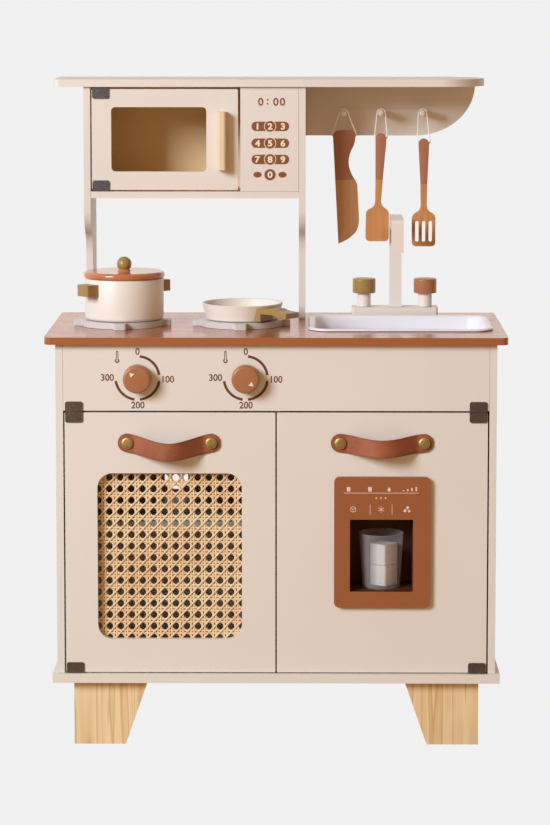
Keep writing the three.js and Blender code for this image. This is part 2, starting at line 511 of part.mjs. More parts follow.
// ---------------------------------------------------------------- burners
['burner_left', 'burner_right'].forEach((name, i) => {
  const z0 = COUNTER.z1 + GAP, z1 = COUNTER.z1 + BURNER.h;
  const h = BURNER.lobe / 2, R = BURNER.reach;
  const parts = [
    flat(roundedRect(-R, -h, R, h, 3), z0, z1, 3), flat(roundedRect(-h, -R, h, R, 3), z0, z1, 3)];
  const g = join(rod('z', BURNER.r, z0, z1, 0, 0, 28), ...parts);
  g.translate(BURNER.x[i], BURNER.y, 0);
  add('cabinet', name, g, 'grey');
});

// ---------------------------------------------------------------- pot, lid and pan
add('pot', 'pot_body', turned([
  [0, POT.z0], [POT.r - 4, POT.z0], [POT.r - 1.2, POT.z0 + 1.2], [POT.r, POT.z0 + 4], [POT.r, POT.z1],
  [POT.r - POT.wall, POT.z1], [POT.r - POT.wall, POT.z0 + 4], [0, POT.z0 + 4]], POT.x, POT.y, 28), 'cream');
for (const [name, azimuth] of [['pot_handle_left', 220], ['pot_handle_right', 40]]) {
  const g = block(POT.r - 4, POT.r + 17, -12, 12, 583, 598);
  const shell = rod('z', POT.r + GAP, 570, 610, 0, 0, 48);
  const mesh = add('pot', name, cut(g, shell), 'olive');
  mesh.position.set(POT.x, POT.y, 0);
  mesh.rotation.z = THREE.MathUtils.degToRad(azimuth);
}
add('pot_lid', 'pot_lid', turned([
  [0, LID.z0 - 4], [POT.r - POT.wall - 1, LID.z0 - 4], [POT.r - POT.wall - 1, LID.z0], [LID.r - 2, LID.z0], [LID.r - 0.3, LID.z0 + 2.2], [LID.r, LID.z0 + 4.5],
  [LID.r - 0.8, LID.z0 + 7], [LID.r - 3.2, LID.z1 - 0.1], [LID.r - 6, LID.z1], [8.8, LID.z1], [7.9, LID.z1 + 1.6],
  ...[-50, -20, 10, 40, 68].map((d) => [LID.knobR * Math.cos(d * Math.PI / 180), LID.knobZ + LID.knobR * Math.sin(d * Math.PI / 180)]),
  [0, LID.knobZ + LID.knobR]], POT.x, POT.y, 28), 'terracotta');

add('pan', 'pan_body', turned([
  [0, PAN.z0], [PAN.botR - 3, PAN.z0], [PAN.botR, PAN.z0 + 2.5], [PAN.topR, PAN.z1 - 0.8], [PAN.topR - 0.8, PAN.z1], [PAN.topR - PAN.wall + 0.6, PAN.z1],
  [PAN.topR - PAN.wall, PAN.z1 - 0.8], [PAN.botR - PAN.wall, PAN.z0 + 5], [0, PAN.z0 + 4]], PAN.x, PAN.y, 28), 'cream');
{
  // handle in its own axes: +U runs outward, +V to its far side
  const p = new THREE.Shape();
  p.moveTo(36, 550.6); p.lineTo(51, 550.6); p.lineTo(51, 560.2); p.lineTo(68, 560.2);
  p.quadraticCurveTo(73, 559.6, 77, 556.8); p.lineTo(92, 556.2); p.lineTo(PAN_HANDLE.length, 557.2);
  p.lineTo(PAN_HANDLE.length, 563.6); p.lineTo(80, 564.6); p.quadraticCurveTo(74, 565.6, 70, 567.4); p.lineTo(36, 567.8); p.closePath();
  const g = new THREE.ExtrudeGeometry(p, { depth: PAN_HANDLE.width, bevelEnabled: false, curveSegments: 4 });
  // drawn (U, Z) and pushed along -V
  g.applyMatrix4(new THREE.Matrix4().makeBasis(new THREE.Vector3(1, 0, 0), new THREE.Vector3(0, 0, 1), new THREE.Vector3(0, -1, 0)));
  g.translate(0, PAN_HANDLE.width - PAN_HANDLE.near, 0);
  const wall = turned([[0, 545], [PAN.botR + GAP, 545], [PAN.botR + GAP, PAN.z0 + 2.3], [PAN.topR + GAP, PAN.z1 - 0.8], [PAN.topR + GAP, 575], [0, 575]], 0, 0, 48);
  const mesh = add('pan', 'pan_handle', cut(g, wall), 'olive');
  mesh.position.set(PAN.x, PAN.y, 0);
  mesh.rotation.z = THREE.MathUtils.degToRad(PAN_HANDLE.azimuth);
}

// ---------------------------------------------------------------- hanging utensils
// cord loop: in one side of the handle's cross hole, up over the peg and back in at the other side
const loopPath = (pegX, left, right) => {
  const R = PEG.r + GAP + CORD.r; // radius of the cord's line over the peg
  const b = CORD.bend;
  const pts = [];
  const mid = [(left[0] + right[0]) / 2, (left[1] + right[1]) / 2];
  const y = UTENSIL.y;
  const P = (x, z) => new THREE.Vector3(x, y, z);
  // outward points of the loop: the cord runs just outside the handle's edge
  for (const [side, end] of [[-1, left], [1, right]]) {
    const out = end[0] + side * (CORD.r + 0.35);
    const half = [];
    half.push(P(mid[0] + side * 0.7, mid[1]));
    half.push(P(mid[0] + side * (Math.abs(end[0] - mid[0]) * 0.45 + 0.3), mid[1] + (end[1] - mid[1]) * 0.5));
    const cx = out - side * b;
    const base = end[1];
    for (const a of [0, 22, 45, 68]) half.push(P(cx + side * b * Math.sin(a * Math.PI / 180), base + b - b * Math.cos(a * Math.PI / 180)));
    half.push(P(out, base + b + 0.6));
    // tangent point on the peg circle
    const dx = side * (pegX - out), dz = PEG.z - (base + b + 0.6);
    const d = Math.hypot(dx, dz);
    const phi = Math.atan2(dz, dx), alpha = Math.acos(Math.min(1, R / d));
    // angle of the tangent point seen from the peg centre, in the mirrored frame (+ is outward)
    const ang = Math.atan2(-dz, -dx) ;
    const t = ang + alpha; // measured from the outward axis, anticlockwise
    const tx = (q) => P(pegX + side * R * Math.cos(q), PEG.z + R * Math.sin(q));
    const start = half[half.length - 1];
    const tp = tx(t);
    for (const f of [0.33, 0.67]) half.push(P(start.x + (tp.x - start.x) * f, start.z + (tp.z - start.z) * f));
    const top = Math.PI / 2;
    for (let k = 0; k < 5; k++) half.push(tx(t + (top - t) * k / 5));
    pts.push(half);
  }
  return [...pts[0], P(pegX, PEG.z + R), ...pts[1].reverse()];
};

const utensil = (key, pegX, shape, holes, left, right, segs) => {
  const path = loopPath(pegX, left, right);
  const cord = tube(path, CORD.r, 30);
  const channel = tube(path, CORD.r + 0.3, 30);
  let body = upright(shape, UTENSIL.y - UTENSIL.t / 2, UTENSIL.y + UTENSIL.t / 2, segs);
  const tools = holes.map((h) => upright(h, UTENSIL.y - UTENSIL.t, UTENSIL.y + UTENSIL.t, 3));
  const mouths = [[left, -1], [right, 1]].map(([p, s]) => rod('x', 2.1, p[0] - (s > 0 ? 3 : 1), p[0] + (s > 0 ? 1 : 3), UTENSIL.y, p[1] + 0.7, 12));
  let m = solid(body);
  for (const t of [...tools, channel, ...mouths]) m = m.subtract(solid(t));
  const pieces = m.decompose();
  pieces.sort((p, q) => q.volume() - p.volume());
  add(key, key, geometryOf(pieces[0]), 'beech');
  add(`${key}_loop`, `${key}_cord`, cord, 'cord');
};

{
  const s = new THREE.Shape();
  s.moveTo(80, 794.2); s.quadraticCurveTo(91, 796.2, 102.6, 795.4); s.quadraticCurveTo(105.8, 792, 106, 786);
  s.quadraticCurveTo(106, 778, 102, 771); s.quadraticCurveTo(96.6, 761, 97, 750); s.quadraticCurveTo(98, 740, 104, 730);
  s.quadraticCurveTo(108.6, 724, 108.9, 720); s.lineTo(111.4, 675); s.quadraticCurveTo(111.6, 660, 104, 653);
  s.quadraticCurveTo(97, 645.5, 83.1, 640.2); s.lineTo(78, 739.4); s.lineTo(75.5, 786); s.quadraticCurveTo(76, 792, 80, 794.2);
  utensil('knife', PEG.x[0], s, [], [75.6, 786.2], [106, 786.2], 5);
}
{
  const dx = -2.0; // keeps the blade clear of the spout
  const s = new THREE.Shape();
  const c = 142.9 + dx;
  s.moveTo(c - 7.4, 783); s.absarc(c, 784, 7.4, Math.PI, 0, true); s.lineTo(c + 7.3, 778);
  s.lineTo(145.6 + dx, 728); s.lineTo(143.4 + dx, 699); s.quadraticCurveTo(143.6 + dx, 692, 149 + dx, 688.5);
  s.quadraticCurveTo(154 + dx, 686, 154.2 + dx, 681); s.lineTo(154 + dx, 649); s.quadraticCurveTo(153.6 + dx, 643.8, 148 + dx, 643.5);
  s.lineTo(128 + dx, 643.5); s.quadraticCurveTo(122.4 + dx, 644, 122.2 + dx, 649.5); s.lineTo(122.8 + dx, 681);
  s.quadraticCurveTo(123 + dx, 685.5, 128.5 + dx, 688); s.quadraticCurveTo(135 + dx, 691, 135.4 + dx, 698); s.lineTo(135.7 + dx, 728); s.closePath();
  utensil('spatula', PEG.x[1], s, [], [c - 7.4, 783.4], [c + 7.4, 783.4], 5);
}
{
  const s = new THREE.Shape();
  const c = 199.5;
  s.moveTo(c - 7.2, 776); s.absarc(c, 777, 7.2, Math.PI, 0, true); s.lineTo(c + 7.1, 771);
  s.lineTo(204.4, 722); s.lineTo(203.9, 693); s.quadraticCurveTo(204, 686, 210.5, 682.6);
  s.quadraticCurveTo(215.6, 680, 215.8, 675); s.lineTo(215.8, 642); s.quadraticCurveTo(215.4, 636.9, 210, 636.5);
  s.lineTo(189.4, 636.5); s.quadraticCurveTo(184, 636.9, 183.7, 642.5); s.lineTo(183.7, 675);
  s.quadraticCurveTo(184, 679.6, 189, 682.6); s.quadraticCurveTo(195.6, 686, 195.6, 693); s.lineTo(195.2, 722); s.closePath();
  const slots = [190.6, 199.8, 208.9].map((x) => roundedRect(x - 2.4, 642.7, x + 2.4, 671.3, 2.3));
  utensil('turner', PEG.x[2], s, slots, [c - 7.2, 776.4], [c + 7.2, 776.4], 5);
}

export default kitchen;
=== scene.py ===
import bpy, bmesh, json, math, random
from math import pi, sin, cos, sqrt, radians, hypot, atan2, acos
from mathutils import Vector, Matrix
from mathutils.geometry import tessellate_polygon


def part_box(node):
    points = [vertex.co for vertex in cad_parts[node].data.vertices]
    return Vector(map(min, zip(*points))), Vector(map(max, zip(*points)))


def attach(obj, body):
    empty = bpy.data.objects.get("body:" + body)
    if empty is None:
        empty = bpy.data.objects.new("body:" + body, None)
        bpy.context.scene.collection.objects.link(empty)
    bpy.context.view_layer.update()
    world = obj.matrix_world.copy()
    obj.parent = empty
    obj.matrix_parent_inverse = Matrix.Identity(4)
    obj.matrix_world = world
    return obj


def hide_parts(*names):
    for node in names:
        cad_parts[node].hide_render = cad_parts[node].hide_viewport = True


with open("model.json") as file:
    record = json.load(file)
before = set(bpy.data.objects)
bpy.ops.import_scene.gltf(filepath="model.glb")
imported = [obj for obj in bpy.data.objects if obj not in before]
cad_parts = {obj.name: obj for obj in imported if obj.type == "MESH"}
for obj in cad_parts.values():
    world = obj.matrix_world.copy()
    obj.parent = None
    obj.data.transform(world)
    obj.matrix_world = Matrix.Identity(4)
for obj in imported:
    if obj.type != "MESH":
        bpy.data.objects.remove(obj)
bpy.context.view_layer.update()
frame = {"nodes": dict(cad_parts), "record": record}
NODES = frame["nodes"]
scene = bpy.context.scene
random.seed(7)

# ------------------------------------------------------------------ frame
# Modelling numbers below are millimetres with the worktop centred on Y = 0; SHIFT moves them to the row frame.
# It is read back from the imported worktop, so every piece sits on its CAD neighbour.
_lo, _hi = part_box("countertop")
SHIFT = (_lo.y + _hi.y) * 500.0


def W(x, y, z):
    return Vector((x / 1000.0, (y + SHIFT) / 1000.0, z / 1000.0))


# ------------------------------------------------------------------ camera
cam_data = bpy.data.cameras.new("Camera")
cam = bpy.data.objects.new("Camera", cam_data)
scene.collection.objects.link(cam)
scene.camera = cam
PITCH, YAW = 5.81, 0.542
cam.location = W(34.6, -3948.2, 990.1)
cam.rotation_euler = (radians(90 - PITCH), 0, radians(YAW))
cam_data.sensor_width = 36.0
cam_data.lens = 129.44
cam_data.shift_y = -0.15
cam_data.clip_start, cam_data.clip_end = 0.1, 400

# ------------------------------------------------------------------ mesh helpers
SHADE = {}


def link(o):
    scene.collection.objects.link(o)
    return o


def make(name, verts, faces, smooth=True, sharp=35.0):
    """Mesh object from millimetre coordinates."""
    me = bpy.data.meshes.new(name)
    me.from_pydata([W(*v) for v in verts], [], faces)
    bm = bmesh.new()
    bm.from_mesh(me)
    bmesh.ops.remove_doubles(bm, verts=bm.verts, dist=1e-6)
    bmesh.ops.recalc_face_normals(bm, faces=bm.faces)
    a = radians(sharp)
    for e in bm.edges:
        e.smooth = not (len(e.link_faces) == 2 and e.calc_face_angle(0) > a)
    bm.to_mesh(me)
    bm.free()
    if smooth:
        me.shade_smooth()
    return link(bpy.data.objects.new(name, me))


def bevel(o, width=0.9, segs=3, angle=30):
    m = o.modifiers.new("Edge", "BEVEL")
    m.width = width / 1000.0
    m.segments = segs
    m.limit_method = "ANGLE"
    m.angle_limit = radians(angle)
    m.harden_normals = True
    m.miter_outer = "MITER_ARC"
    o.data.shade_smooth()
    for e in o.data.edges:
        e.use_edge_sharp = False
    return o


def plate(name, outline, holes, axis, a, b, bev=0.9, segs=3):
    """Board with an outline and holes. axis is the one it is thick along: 'y' draws in (X, Z), 'z' in (X, Y), 'x' in (Y, Z)."""
    put = {"y": lambda p, t: (p[0], t, p[1]), "z": lambda p, t: (p[0], p[1], t), "x": lambda p, t: (t, p[0], p[1])}[axis]
    loops = [outline] + list(holes)
    flat = [p for l in loops for p in l]
    tris = tessellate_polygon([[Vector((p[0], p[1], 0)) for p in l] for l in loops])
    n = len(flat)
    verts = [put(p, a) for p in flat] + [put(p, b) for p in flat]
    faces = []
    for t in tris:
        faces.append(tuple(t))
        faces.append(tuple(i + n for i in reversed(t)))
    k = 0
    for l in loops:
        m = len(l)
        for i in range(m):
            j = (i + 1) % m
            faces.append((k + i, k + j, k + j + n, k + i + n))
        k += m
    o = make(name, verts, faces)
    bm = bmesh.new()
    bm.from_mesh(o.data)
    bmesh.ops.dissolve_limit(bm, angle_limit=0.002, verts=bm.verts, edges=bm.edges, delimit=set())
    bmesh.ops.triangulate(bm, faces=[f for f in bm.faces if len(f.verts) > 4])
    bm.to_mesh(o.data)
    bm.free()
    if bev:
        bevel(o, bev, segs)
    return o


def rrect(x0, y0, x1, y1, r, n=10):
    rs = r if isinstance(r, (list, tuple)) else [r] * 4
    pts = []
    for (cx, cy, a0), rr in zip([(x0, y0, 180), (x1, y0, 270), (x1, y1, 0), (x0, y1, 90)], rs):
        sx = 1 if cx == x0 else -1
        sy = 1 if cy == y0 else -1
        if rr <= 0:
            pts.append((cx, cy))
            continue
        for i in range(n + 1):
            t = radians(a0 + 90 * i / n)
            pts.append((cx + sx * rr + rr * cos(t), cy + sy * rr + rr * sin(t)))
    return pts


def circle(cx, cy, r, n=48, a0=0):
    return [(cx + r * cos(2 * pi * i / n + a0), cy + r * sin(2 * pi * i / n + a0)) for i in range(n)]


def qbez(p0, p1, p2, n=10):
    return [((1 - t) ** 2 * p0[0] + 2 * t * (1 - t) * p1[0] + t * t * p2[0],
             (1 - t) ** 2 * p0[1] + 2 * t * (1 - t) * p1[1] + t * t * p2[1]) for t in [i / n for i in range(1, n + 1)]]


def outline(start, *segs, n=10):
    """A path of straight points (x, y), bezier pairs ('q', c, p) and arcs ('a', cx, cy, r, a0, a1)."""
    pts = [start]
    for s in segs:
        if s[0] == "q":
            pts += qbez(pts[-1], s[1], s[2], n)
        elif s[0] == "a":
            _, cx, cy, r, a0, a1 = s
            pts += [(cx + r * cos(radians(a0 + (a1 - a0) * i / n)), cy + r * sin(radians(a0 + (a1 - a0) * i / n))) for i in range(n + 1)]
        else:
            pts.append(s)
    out = []
    for p in pts:
        if not out or hypot(p[0] - out[-1][0], p[1] - out[-1][1]) > 0.02:
            out.append(p)
    if hypot(out[0][0] - out[-1][0], out[0][1] - out[-1][1]) < 0.02:
        out.pop()
    return out


def lathe(name, profile, cx, cy, cz=0, axis="z", n=96, sharp=40):
    """Turned solid. The profile is (radius, height along the axis) from one end on the axis to the other."""
    verts, faces, rings = [], [], []
    for r, h in profile:
        if r < 1e-6:
            rings.append([len(verts)])
            verts.append((0, 0, h))
        else:
            rings.append(list(range(len(verts), len(verts) + n)))
            verts += [(r * cos(2 * pi * i / n), r * sin(2 * pi * i / n), h) for i in range(n)]
    for p, q in zip(rings, rings[1:]):
        if len(p) == 1 and len(q) == 1:
            continue
        for i in range(n):
            j = (i + 1) % n
            if len(p) == 1:
                faces.append((p[0], q[j], q[i]))
            elif len(q) == 1:
                faces.append((p[i], p[j], q[0]))
            else:
                faces.append((p[i], p[j], q[j], q[i]))
    if axis == "z":
        verts = [(cx + x, cy + y, z) for x, y, z in verts]
    elif axis == "y":  # height runs along +Y from cy
        verts = [(cx + x, cy + z, cz + y) for x, y, z in verts]
    elif axis == "x":
        verts = [(cx + z, cy + x, cz + y) for x, y, z in verts]
    return make(name, verts, faces, sharp=sharp)


def arc(cx, cz, r, a0, a1, n=8):
    return [(cx + r * cos(radians(a0 + (a1 - a0) * i / n)), cz + r * sin(radians(a0 + (a1 - a0) * i / n))) for i in range(n + 1)]


def loft(name, rings, closed_ends=True, sharp=35, loop=False):
    n = len(rings[0])
    verts = [v for r in rings for v in r]
    faces = []
    m = len(rings)
    for k in range(m if loop else m - 1):
        for i in range(n):
            a, b = k * n + i, k * n + (i + 1) % n
            c, d = ((k + 1) % m) * n + (i + 1) % n, ((k + 1) % m) * n + i
            faces.append((a, b, c, d))
    if closed_ends and not loop:
        faces.append(tuple(reversed(range(n))))
        faces.append(tuple((m - 1) * n + i for i in range(n)))
    return make(name, verts, faces, sharp=sharp)


def join(name, objs):
    """One object out of several; modifiers are applied first."""
    dg = bpy.context.evaluated_depsgraph_get()
    dg.update()
    bm = bmesh.new()
    mats = []
    for o in objs:
        e = o.evaluated_get(dg)
        me = bpy.data.meshes.new_from_object(e)
        me.transform(o.matrix_world)
        index = {}
        for i, m in enumerate(o.data.materials):
            if m not in mats:
                mats.append(m)
            index[i] = mats.index(m)
        for p in me.polygons:
            p.material_index = index.get(p.material_index, 0)
        bm.from_mesh(me)
        bpy.data.meshes.remove(me)
    me = bpy.data.meshes.new(name)
    bm.to_mesh(me)
    bm.free()
    for m in mats:
        me.materials.append(m)
    for o in objs:
        bpy.data.objects.remove(o, do_unlink=True)
    return link(bpy.data.objects.new(name, me))


def paint(o, m):
    o.data.materials.clear()
    o.data.materials.append(m)
    return o


def part(o, body, mat, replaces=()):
    if mat is not None:
        paint(o, mat)
    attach(o, body)
    if replaces:
        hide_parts(*([replaces] if isinstance(replaces, str) else replaces))
    return o


# ------------------------------------------------------------------ material helpers
def srgb(r, g, b, a=1.0):
    f = lambda c: (c / 255.0 / 12.92) if c / 255.0 <= 0.04045 else ((c / 255.0 + 0.055) / 1.055) ** 2.4
    return (f(r), f(g), f(b), a)


class Mat:
    def __init__(self, name):
        self.m = bpy.data.materials.new(name)
        self.m.use_nodes = True
        self.t = self.m.node_tree
        self.t.nodes.clear()
        self.out = self.n("ShaderNodeOutputMaterial")
        self.b = self.n("ShaderNodeBsdfPrincipled")
        self.t.links.new(self.b.outputs[0], self.out.inputs[0])
        self.coord = self.n("ShaderNodeTexCoord").outputs["Object"]

    def n(self, kind, **props):
        node = self.t.nodes.new(kind)
        for k, v in props.items():
            setattr(node, k, v)
        return node

    def link(self, a, b):
        self.t.links.new(a, b)

    def set(self, **kw):
        for k, v in kw.items():
            self.b.inputs[k.replace("_", " ")].default_value = v
        return self

    def mapped(self, scale=(1, 1, 1), rot=(0, 0, 0), loc=(0, 0, 0)):
        mp = self.n("ShaderNodeMapping")
        mp.inputs["Scale"].default_value = scale
        mp.inputs["Rotation"].default_value = rot
        mp.inputs["Location"].default_value = loc
        self.link(self.coord, mp.inputs["Vector"])
        return mp.outputs[0]

    def noise(self, scale, detail=3, rough=0.5, vec=None, distortion=0.0):
        t = self.n("ShaderNodeTexNoise")
        t.inputs["Scale"].default_value = scale
        t.inputs["Detail"].default_value = detail
        t.inputs["Roughness"].default_value = rough
        t.inputs["Distortion"].default_value = distortion
        self.link(vec if vec is not None else self.coord, t.inputs["Vector"])
        return t.outputs["Fac"]

    def ramp(self, fac, stops, mode="LINEAR"):
        r = self.n("ShaderNodeValToRGB")
        r.color_ramp.interpolation = mode
        els = r.color_ramp.elements
        while len(els) < len(stops):
            els.new(0.5)
        for e, (p, c) in zip(els, stops):
            e.position = p
            e.color = c if len(c) == 4 else (*c, 1)
        self.link(fac, r.inputs["Fac"])
        return r.outputs["Color"]

    def mix(self, fac, a, b, mode="MIX"):
        x = self.n("ShaderNodeMix", data_type="RGBA", blend_type=mode)
        for sock, v in ((x.inputs["Factor"], fac), (x.inputs[6], a), (x.inputs[7], b)):
            if isinstance(v, (int, float)):
                sock.default_value = v
            elif isinstance(v, (tuple, list)):
                sock.default_value = v
            else:
                self.link(v, sock)
        return x.outputs[2]

    def math(self, op, a, b=0.0, clamp=False):
        x = self.n("ShaderNodeMath", operation=op, use_clamp=clamp)
        for sock, v in ((x.inputs[0], a), (x.inputs[1], b)):
            if isinstance(v, (int, float)):
                sock.default_value = v
            else:
                self.link(v, sock)
        return x.outputs[0]

    def remap(self, v, a, b, c, d):
        x = self.n("ShaderNodeMapRange")
        self.link(v, x.inputs["Value"])
        for k, q in zip(("From Min", "From Max", "To Min", "To Max"), (a, b, c, d)):
            x.inputs[k].default_value = q
        return x.outputs[0]

    def bump(self, height, strength=0.2, distance=0.001, normal=None):
        x = self.n("ShaderNodeBump")
        x.inputs["Strength"].default_value = strength
        x.inputs["Distance"].default_value = distance
        self.link(height, x.inputs["Height"])
        if normal is not None:
            self.link(normal, x.inputs["Normal"])
        return x.outputs[0]

    def color(self, sock):
        self.link(sock, self.b.inputs["Base Color"])
        return self

    def normal(self, sock):
        self.link(sock, self.b.inputs["Normal"])
        return self

    def rough(self, sock):
        self.link(sock, self.b.inputs["Roughness"])
        return self


def scaled(c, k):
    return (min(c[0] * k, 1), min(c[1] * k, 1), min(c[2] * k, 1), 1)


def painted(name, rgb, rough=0.42, coat=0.0, var=0.03, peel=0.25, spec=0.5, grain=0.0):
    """Sprayed paint on a board: faint tone drift, fine orange peel, and a trace of the wood under it."""
    m = Mat(name)
    c = srgb(*rgb)
    big = m.noise(7.0, 3, 0.55)
    col = m.mix(m.remap(big, 0.3, 0.7, 0, 1), scaled(c, 1 - var), scaled(c, 1 + var))
    fine = m.noise(900, 2, 0.6)
    col = m.mix(m.remap(fine, 0.35, 0.75, 0, 0.10), col, scaled(c, 0.90))
    m.color(col)
    m.set(Roughness=rough, Specular_IOR_Level=spec, Coat_Weight=coat, Coat_Roughness=0.08)
    m.rough(m.remap(m.noise(60, 3, 0.6), 0.3, 0.7, rough - 0.05, rough + 0.06))
    h = m.noise(650, 2, 0.5)
    if grain:
        fib = m.noise(1.0, 4, 0.6, vec=m.mapped((900, 900, 14)))
        h = m.math("ADD", h, m.math("MULTIPLY", fib, grain))
    m.normal(m.bump(h, peel, 0.00012))
    return m.m


def wooden(name, light, dark, along="z", rough=0.5, ring=18.0, contrast=1.0, offset=(0, 0, 0), coat=0.0):
    """Bare or oiled wood: growth rings drawn out along the grain, pores and fine fibres."""
    m = Mat(name)
    k = {"x": (0.09, 1, 1), "y": (1, 0.09, 1), "z": (1, 1, 0.07)}[along]
    rot = {"x": (0.02, 0.05, 0.03), "y": (0.04, 0.02, 0.05), "z": (0.03, 0.02, 0)}[along]
    base = m.mapped(tuple(ring * q for q in k), rot, offset)
    wob = m.noise(0.9, 3, 0.5, vec=base)
    wav = m.n("ShaderNodeTexWave", wave_type="RINGS", rings_direction={"x": "X", "y": "Y", "z": "Z"}[along], wave_profile="SAW")
    wav.inputs["Scale"].default_value = 1.2
    wav.inputs["Distortion"].default_value = 5.0
    wav.inputs["Detail"].default_value = 3.0
    wav.inputs["Detail Scale"].default_value = 0.8
    m.link(base, wav.inputs["Vector"])
    rings = m.remap(wav.outputs["Fac"], 0.0, 1.0, 0.0, 1.0)
    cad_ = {"x": (12, 1100, 1100), "y": (1100, 12, 1100), "z": (1100, 1100, 12)}[along]
    fib = m.noise(1.0, 4, 0.65, vec=m.mapped(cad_))
    streak = m.noise(1.0, 3, 0.5, vec=m.mapped({"x": (3, 160, 160), "y": (160, 3, 160), "z": (160, 160, 3)}[along]))
    L, D = srgb(*light), srgb(*dark)
    tone = m.math("ADD", m.math("MULTIPLY", rings, 0.5 * contrast), m.math("MULTIPLY", m.remap(wob, 0.3, 0.7, 0, 1), 0.25 * contrast))
    tone = m.math("ADD", tone, m.math("MULTIPLY", m.remap(streak, 0.35, 0.7, 0, 1), 0.35 * contrast), clamp=True)
    col = m.mix(tone, L, D)
    col = m.mix(m.remap(fib, 0.45, 0.8, 0, 0.45), col, scaled(D, 0.75))
    m.color(col)
    m.set(Specular_IOR_Level=0.45, Coat_Weight=coat, Coat_Roughness=0.25)
    m.rough(m.remap(fib, 0.3, 0.8, rough - 0.06, rough + 0.12))
    m.normal(m.bump(fib, 0.35, 0.00015))
    return m.m


def grained(name, light, dark):
    """Pale softwood with thin darker growth lines running up the board."""
    m = Mat(name)
    v = m.noise(1.0, 2, 0.45, vec=m.mapped((30, 30, 1.6)))
    saw = m.math("FRACT", m.math("MULTIPLY", v, 9.0))
    line = m.ramp(saw, [(0.0, (0, 0, 0)), (0.45, (0.16, 0.16, 0.16)), (0.82, (0.5, 0.5, 0.5)), (0.93, (1, 1, 1)), (1.0, (0.05, 0.05, 0.05))])
    fib = m.noise(1.0, 4, 0.65, vec=m.mapped((1200, 1200, 14)))
    tone = m.math("ADD", m.math("MULTIPLY", line, 0.75), m.math("MULTIPLY", m.remap(m.noise(14, 2, 0.5), 0.35, 0.65, 0, 1), 0.2), clamp=True)
    col = m.mix(tone, srgb(*light), srgb(*dark))
    col = m.mix(m.remap(fib, 0.45, 0.8, 0, 0.3), col, scaled(srgb(*dark), 0.9))
    m.color(col)
    m.set(Specular_IOR_Level=0.4)
    m.rough(m.remap(fib, 0.3, 0.8, 0.46, 0.62))
    m.normal(m.bump(fib, 0.3, 0.00012))
    return m.m


# ------------------------------------------------------------------ materials
CREAM = (228, 217, 208)
cream = painted("cream_paint", CREAM, 0.46, 0.0, 0.018, 0.22)
cream_gloss = painted("cream_lacquer", (231, 219, 209), 0.44, 0.06, 0.015, 0.10)
counter = painted("worktop_terracotta", (171, 96, 54), 0.22, 0.3, 0.03, 0.08)
terra = painted("terracotta_paint", (172, 109, 69), 0.38, 0.05, 0.03, 0.15)
terra_gloss = painted("terracotta_lacquer", (190, 112, 64), 0.16, 0.5, 0.03, 0.05)
olive = painted("olive_paint", (160, 126, 66), 0.38, 0.10, 0.05, 0.2, grain=0.6)
grey = painted("burner_grey", (206, 199, 195), 0.42, 0.05, 0.02, 0.18)
brown_print = painted("print_brown", (142, 78, 40), 0.5, 0, 0.03, 0.1)
dial_print = painted("print_dark_brown", (108, 62, 34), 0.5, 0, 0.03, 0.1)
light_print = painted("print_light", (238, 222, 205), 0.5, 0, 0.01, 0.1)
white_print = painted("print_white", (232, 205, 188), 0.5, 0, 0.01, 0.1)
pine = grained("pine", (242, 214, 170), (206, 158, 104))
pegwood = wooden("peg_wood", (245, 234, 216), (228, 208, 178), "y", 0.5, 40, 0.6)
rail = wooden("handle_wood", (244, 216, 184), (224, 188, 150), "z", 0.42, 30, 0.5, coat=0.15)
beech = wooden("beech", (212, 146, 88), (180, 112, 60), "z", 0.48, 40, 0.6)
beech_knife = wooden("beech_dark", (208, 152, 104), (176, 116, 72), "z", 0.5, 36, 0.6, offset=(1.7, 0.3, 0.4))
handle_paint = painted("handle_paint", (172, 108, 78), 0.45, 0.05, 0.04, 0.2, grain=0.8)


def metal(name, rgb, rough, scale=900, aniso=0.0, strength=0.12):
    m = Mat(name)
    c = srgb(*rgb)
    m.color(m.mix(m.remap(m.noise(180, 4, 0.6), 0.3, 0.7, 0, 1), scaled(c, 0.82), scaled(c, 1.12)))
    m.set(Metallic=1.0, Anisotropic=aniso)
    m.rough(m.remap(m.noise(420, 3, 0.6), 0.3, 0.7, rough - 0.06, rough + 0.1))
    m.normal(m.bump(m.noise(1.0, 3, 0.6, vec=m.mapped((scale * 0.06, scale, scale))), strength, 0.0001))
    return m.m


hinge_metal = metal("hinge_metal", (150, 126, 108), 0.40)
hinge_grey = metal("hinge_metal_grey", (138, 128, 124), 0.40)
def brass_material():
    m = Mat("brass")
    line = m.noise(1.0, 3, 0.6, vec=m.mapped((2600, 2600, 90), (0, 0.8, 0)))
    col = m.mix(m.remap(line, 0.3, 0.7, 0, 1), srgb(214, 168, 94), srgb(240, 200, 128))
    m.color(m.mix(m.remap(m.noise(200, 3, 0.6), 0.45, 0.8, 0, 0.5), col, srgb(150, 108, 52)))
    m.set(Metallic=1.0)
    m.rough(m.remap(line, 0.3, 0.7, 0.40, 0.55))
    m.normal(m.bump(line, 0.25, 0.0001))
    return m.m


brass = brass_material()


def cane_material():
    m = Mat("cane")
    col = m.mix(m.remap(m.noise(240, 4, 0.6), 0.3, 0.7, 0, 1), srgb(242, 206, 164), srgb(222, 176, 130))
    col = m.mix(m.remap(m.noise(18, 3, 0.5), 0.35, 0.65, 0, 0.5), col, srgb(241, 226, 185))
    m.color(col)
    m.set(Specular_IOR_Level=0.5, Roughness=0.42)
    m.rough(m.remap(m.noise(700, 3, 0.6), 0.3, 0.7, 0.34, 0.55))
    fib = m.noise(1.0, 3, 0.6, vec=m.mapped((2600, 2600, 2600)))
    m.normal(m.bump(fib, 0.3, 0.0001))
    return m.m


cane = cane_material()


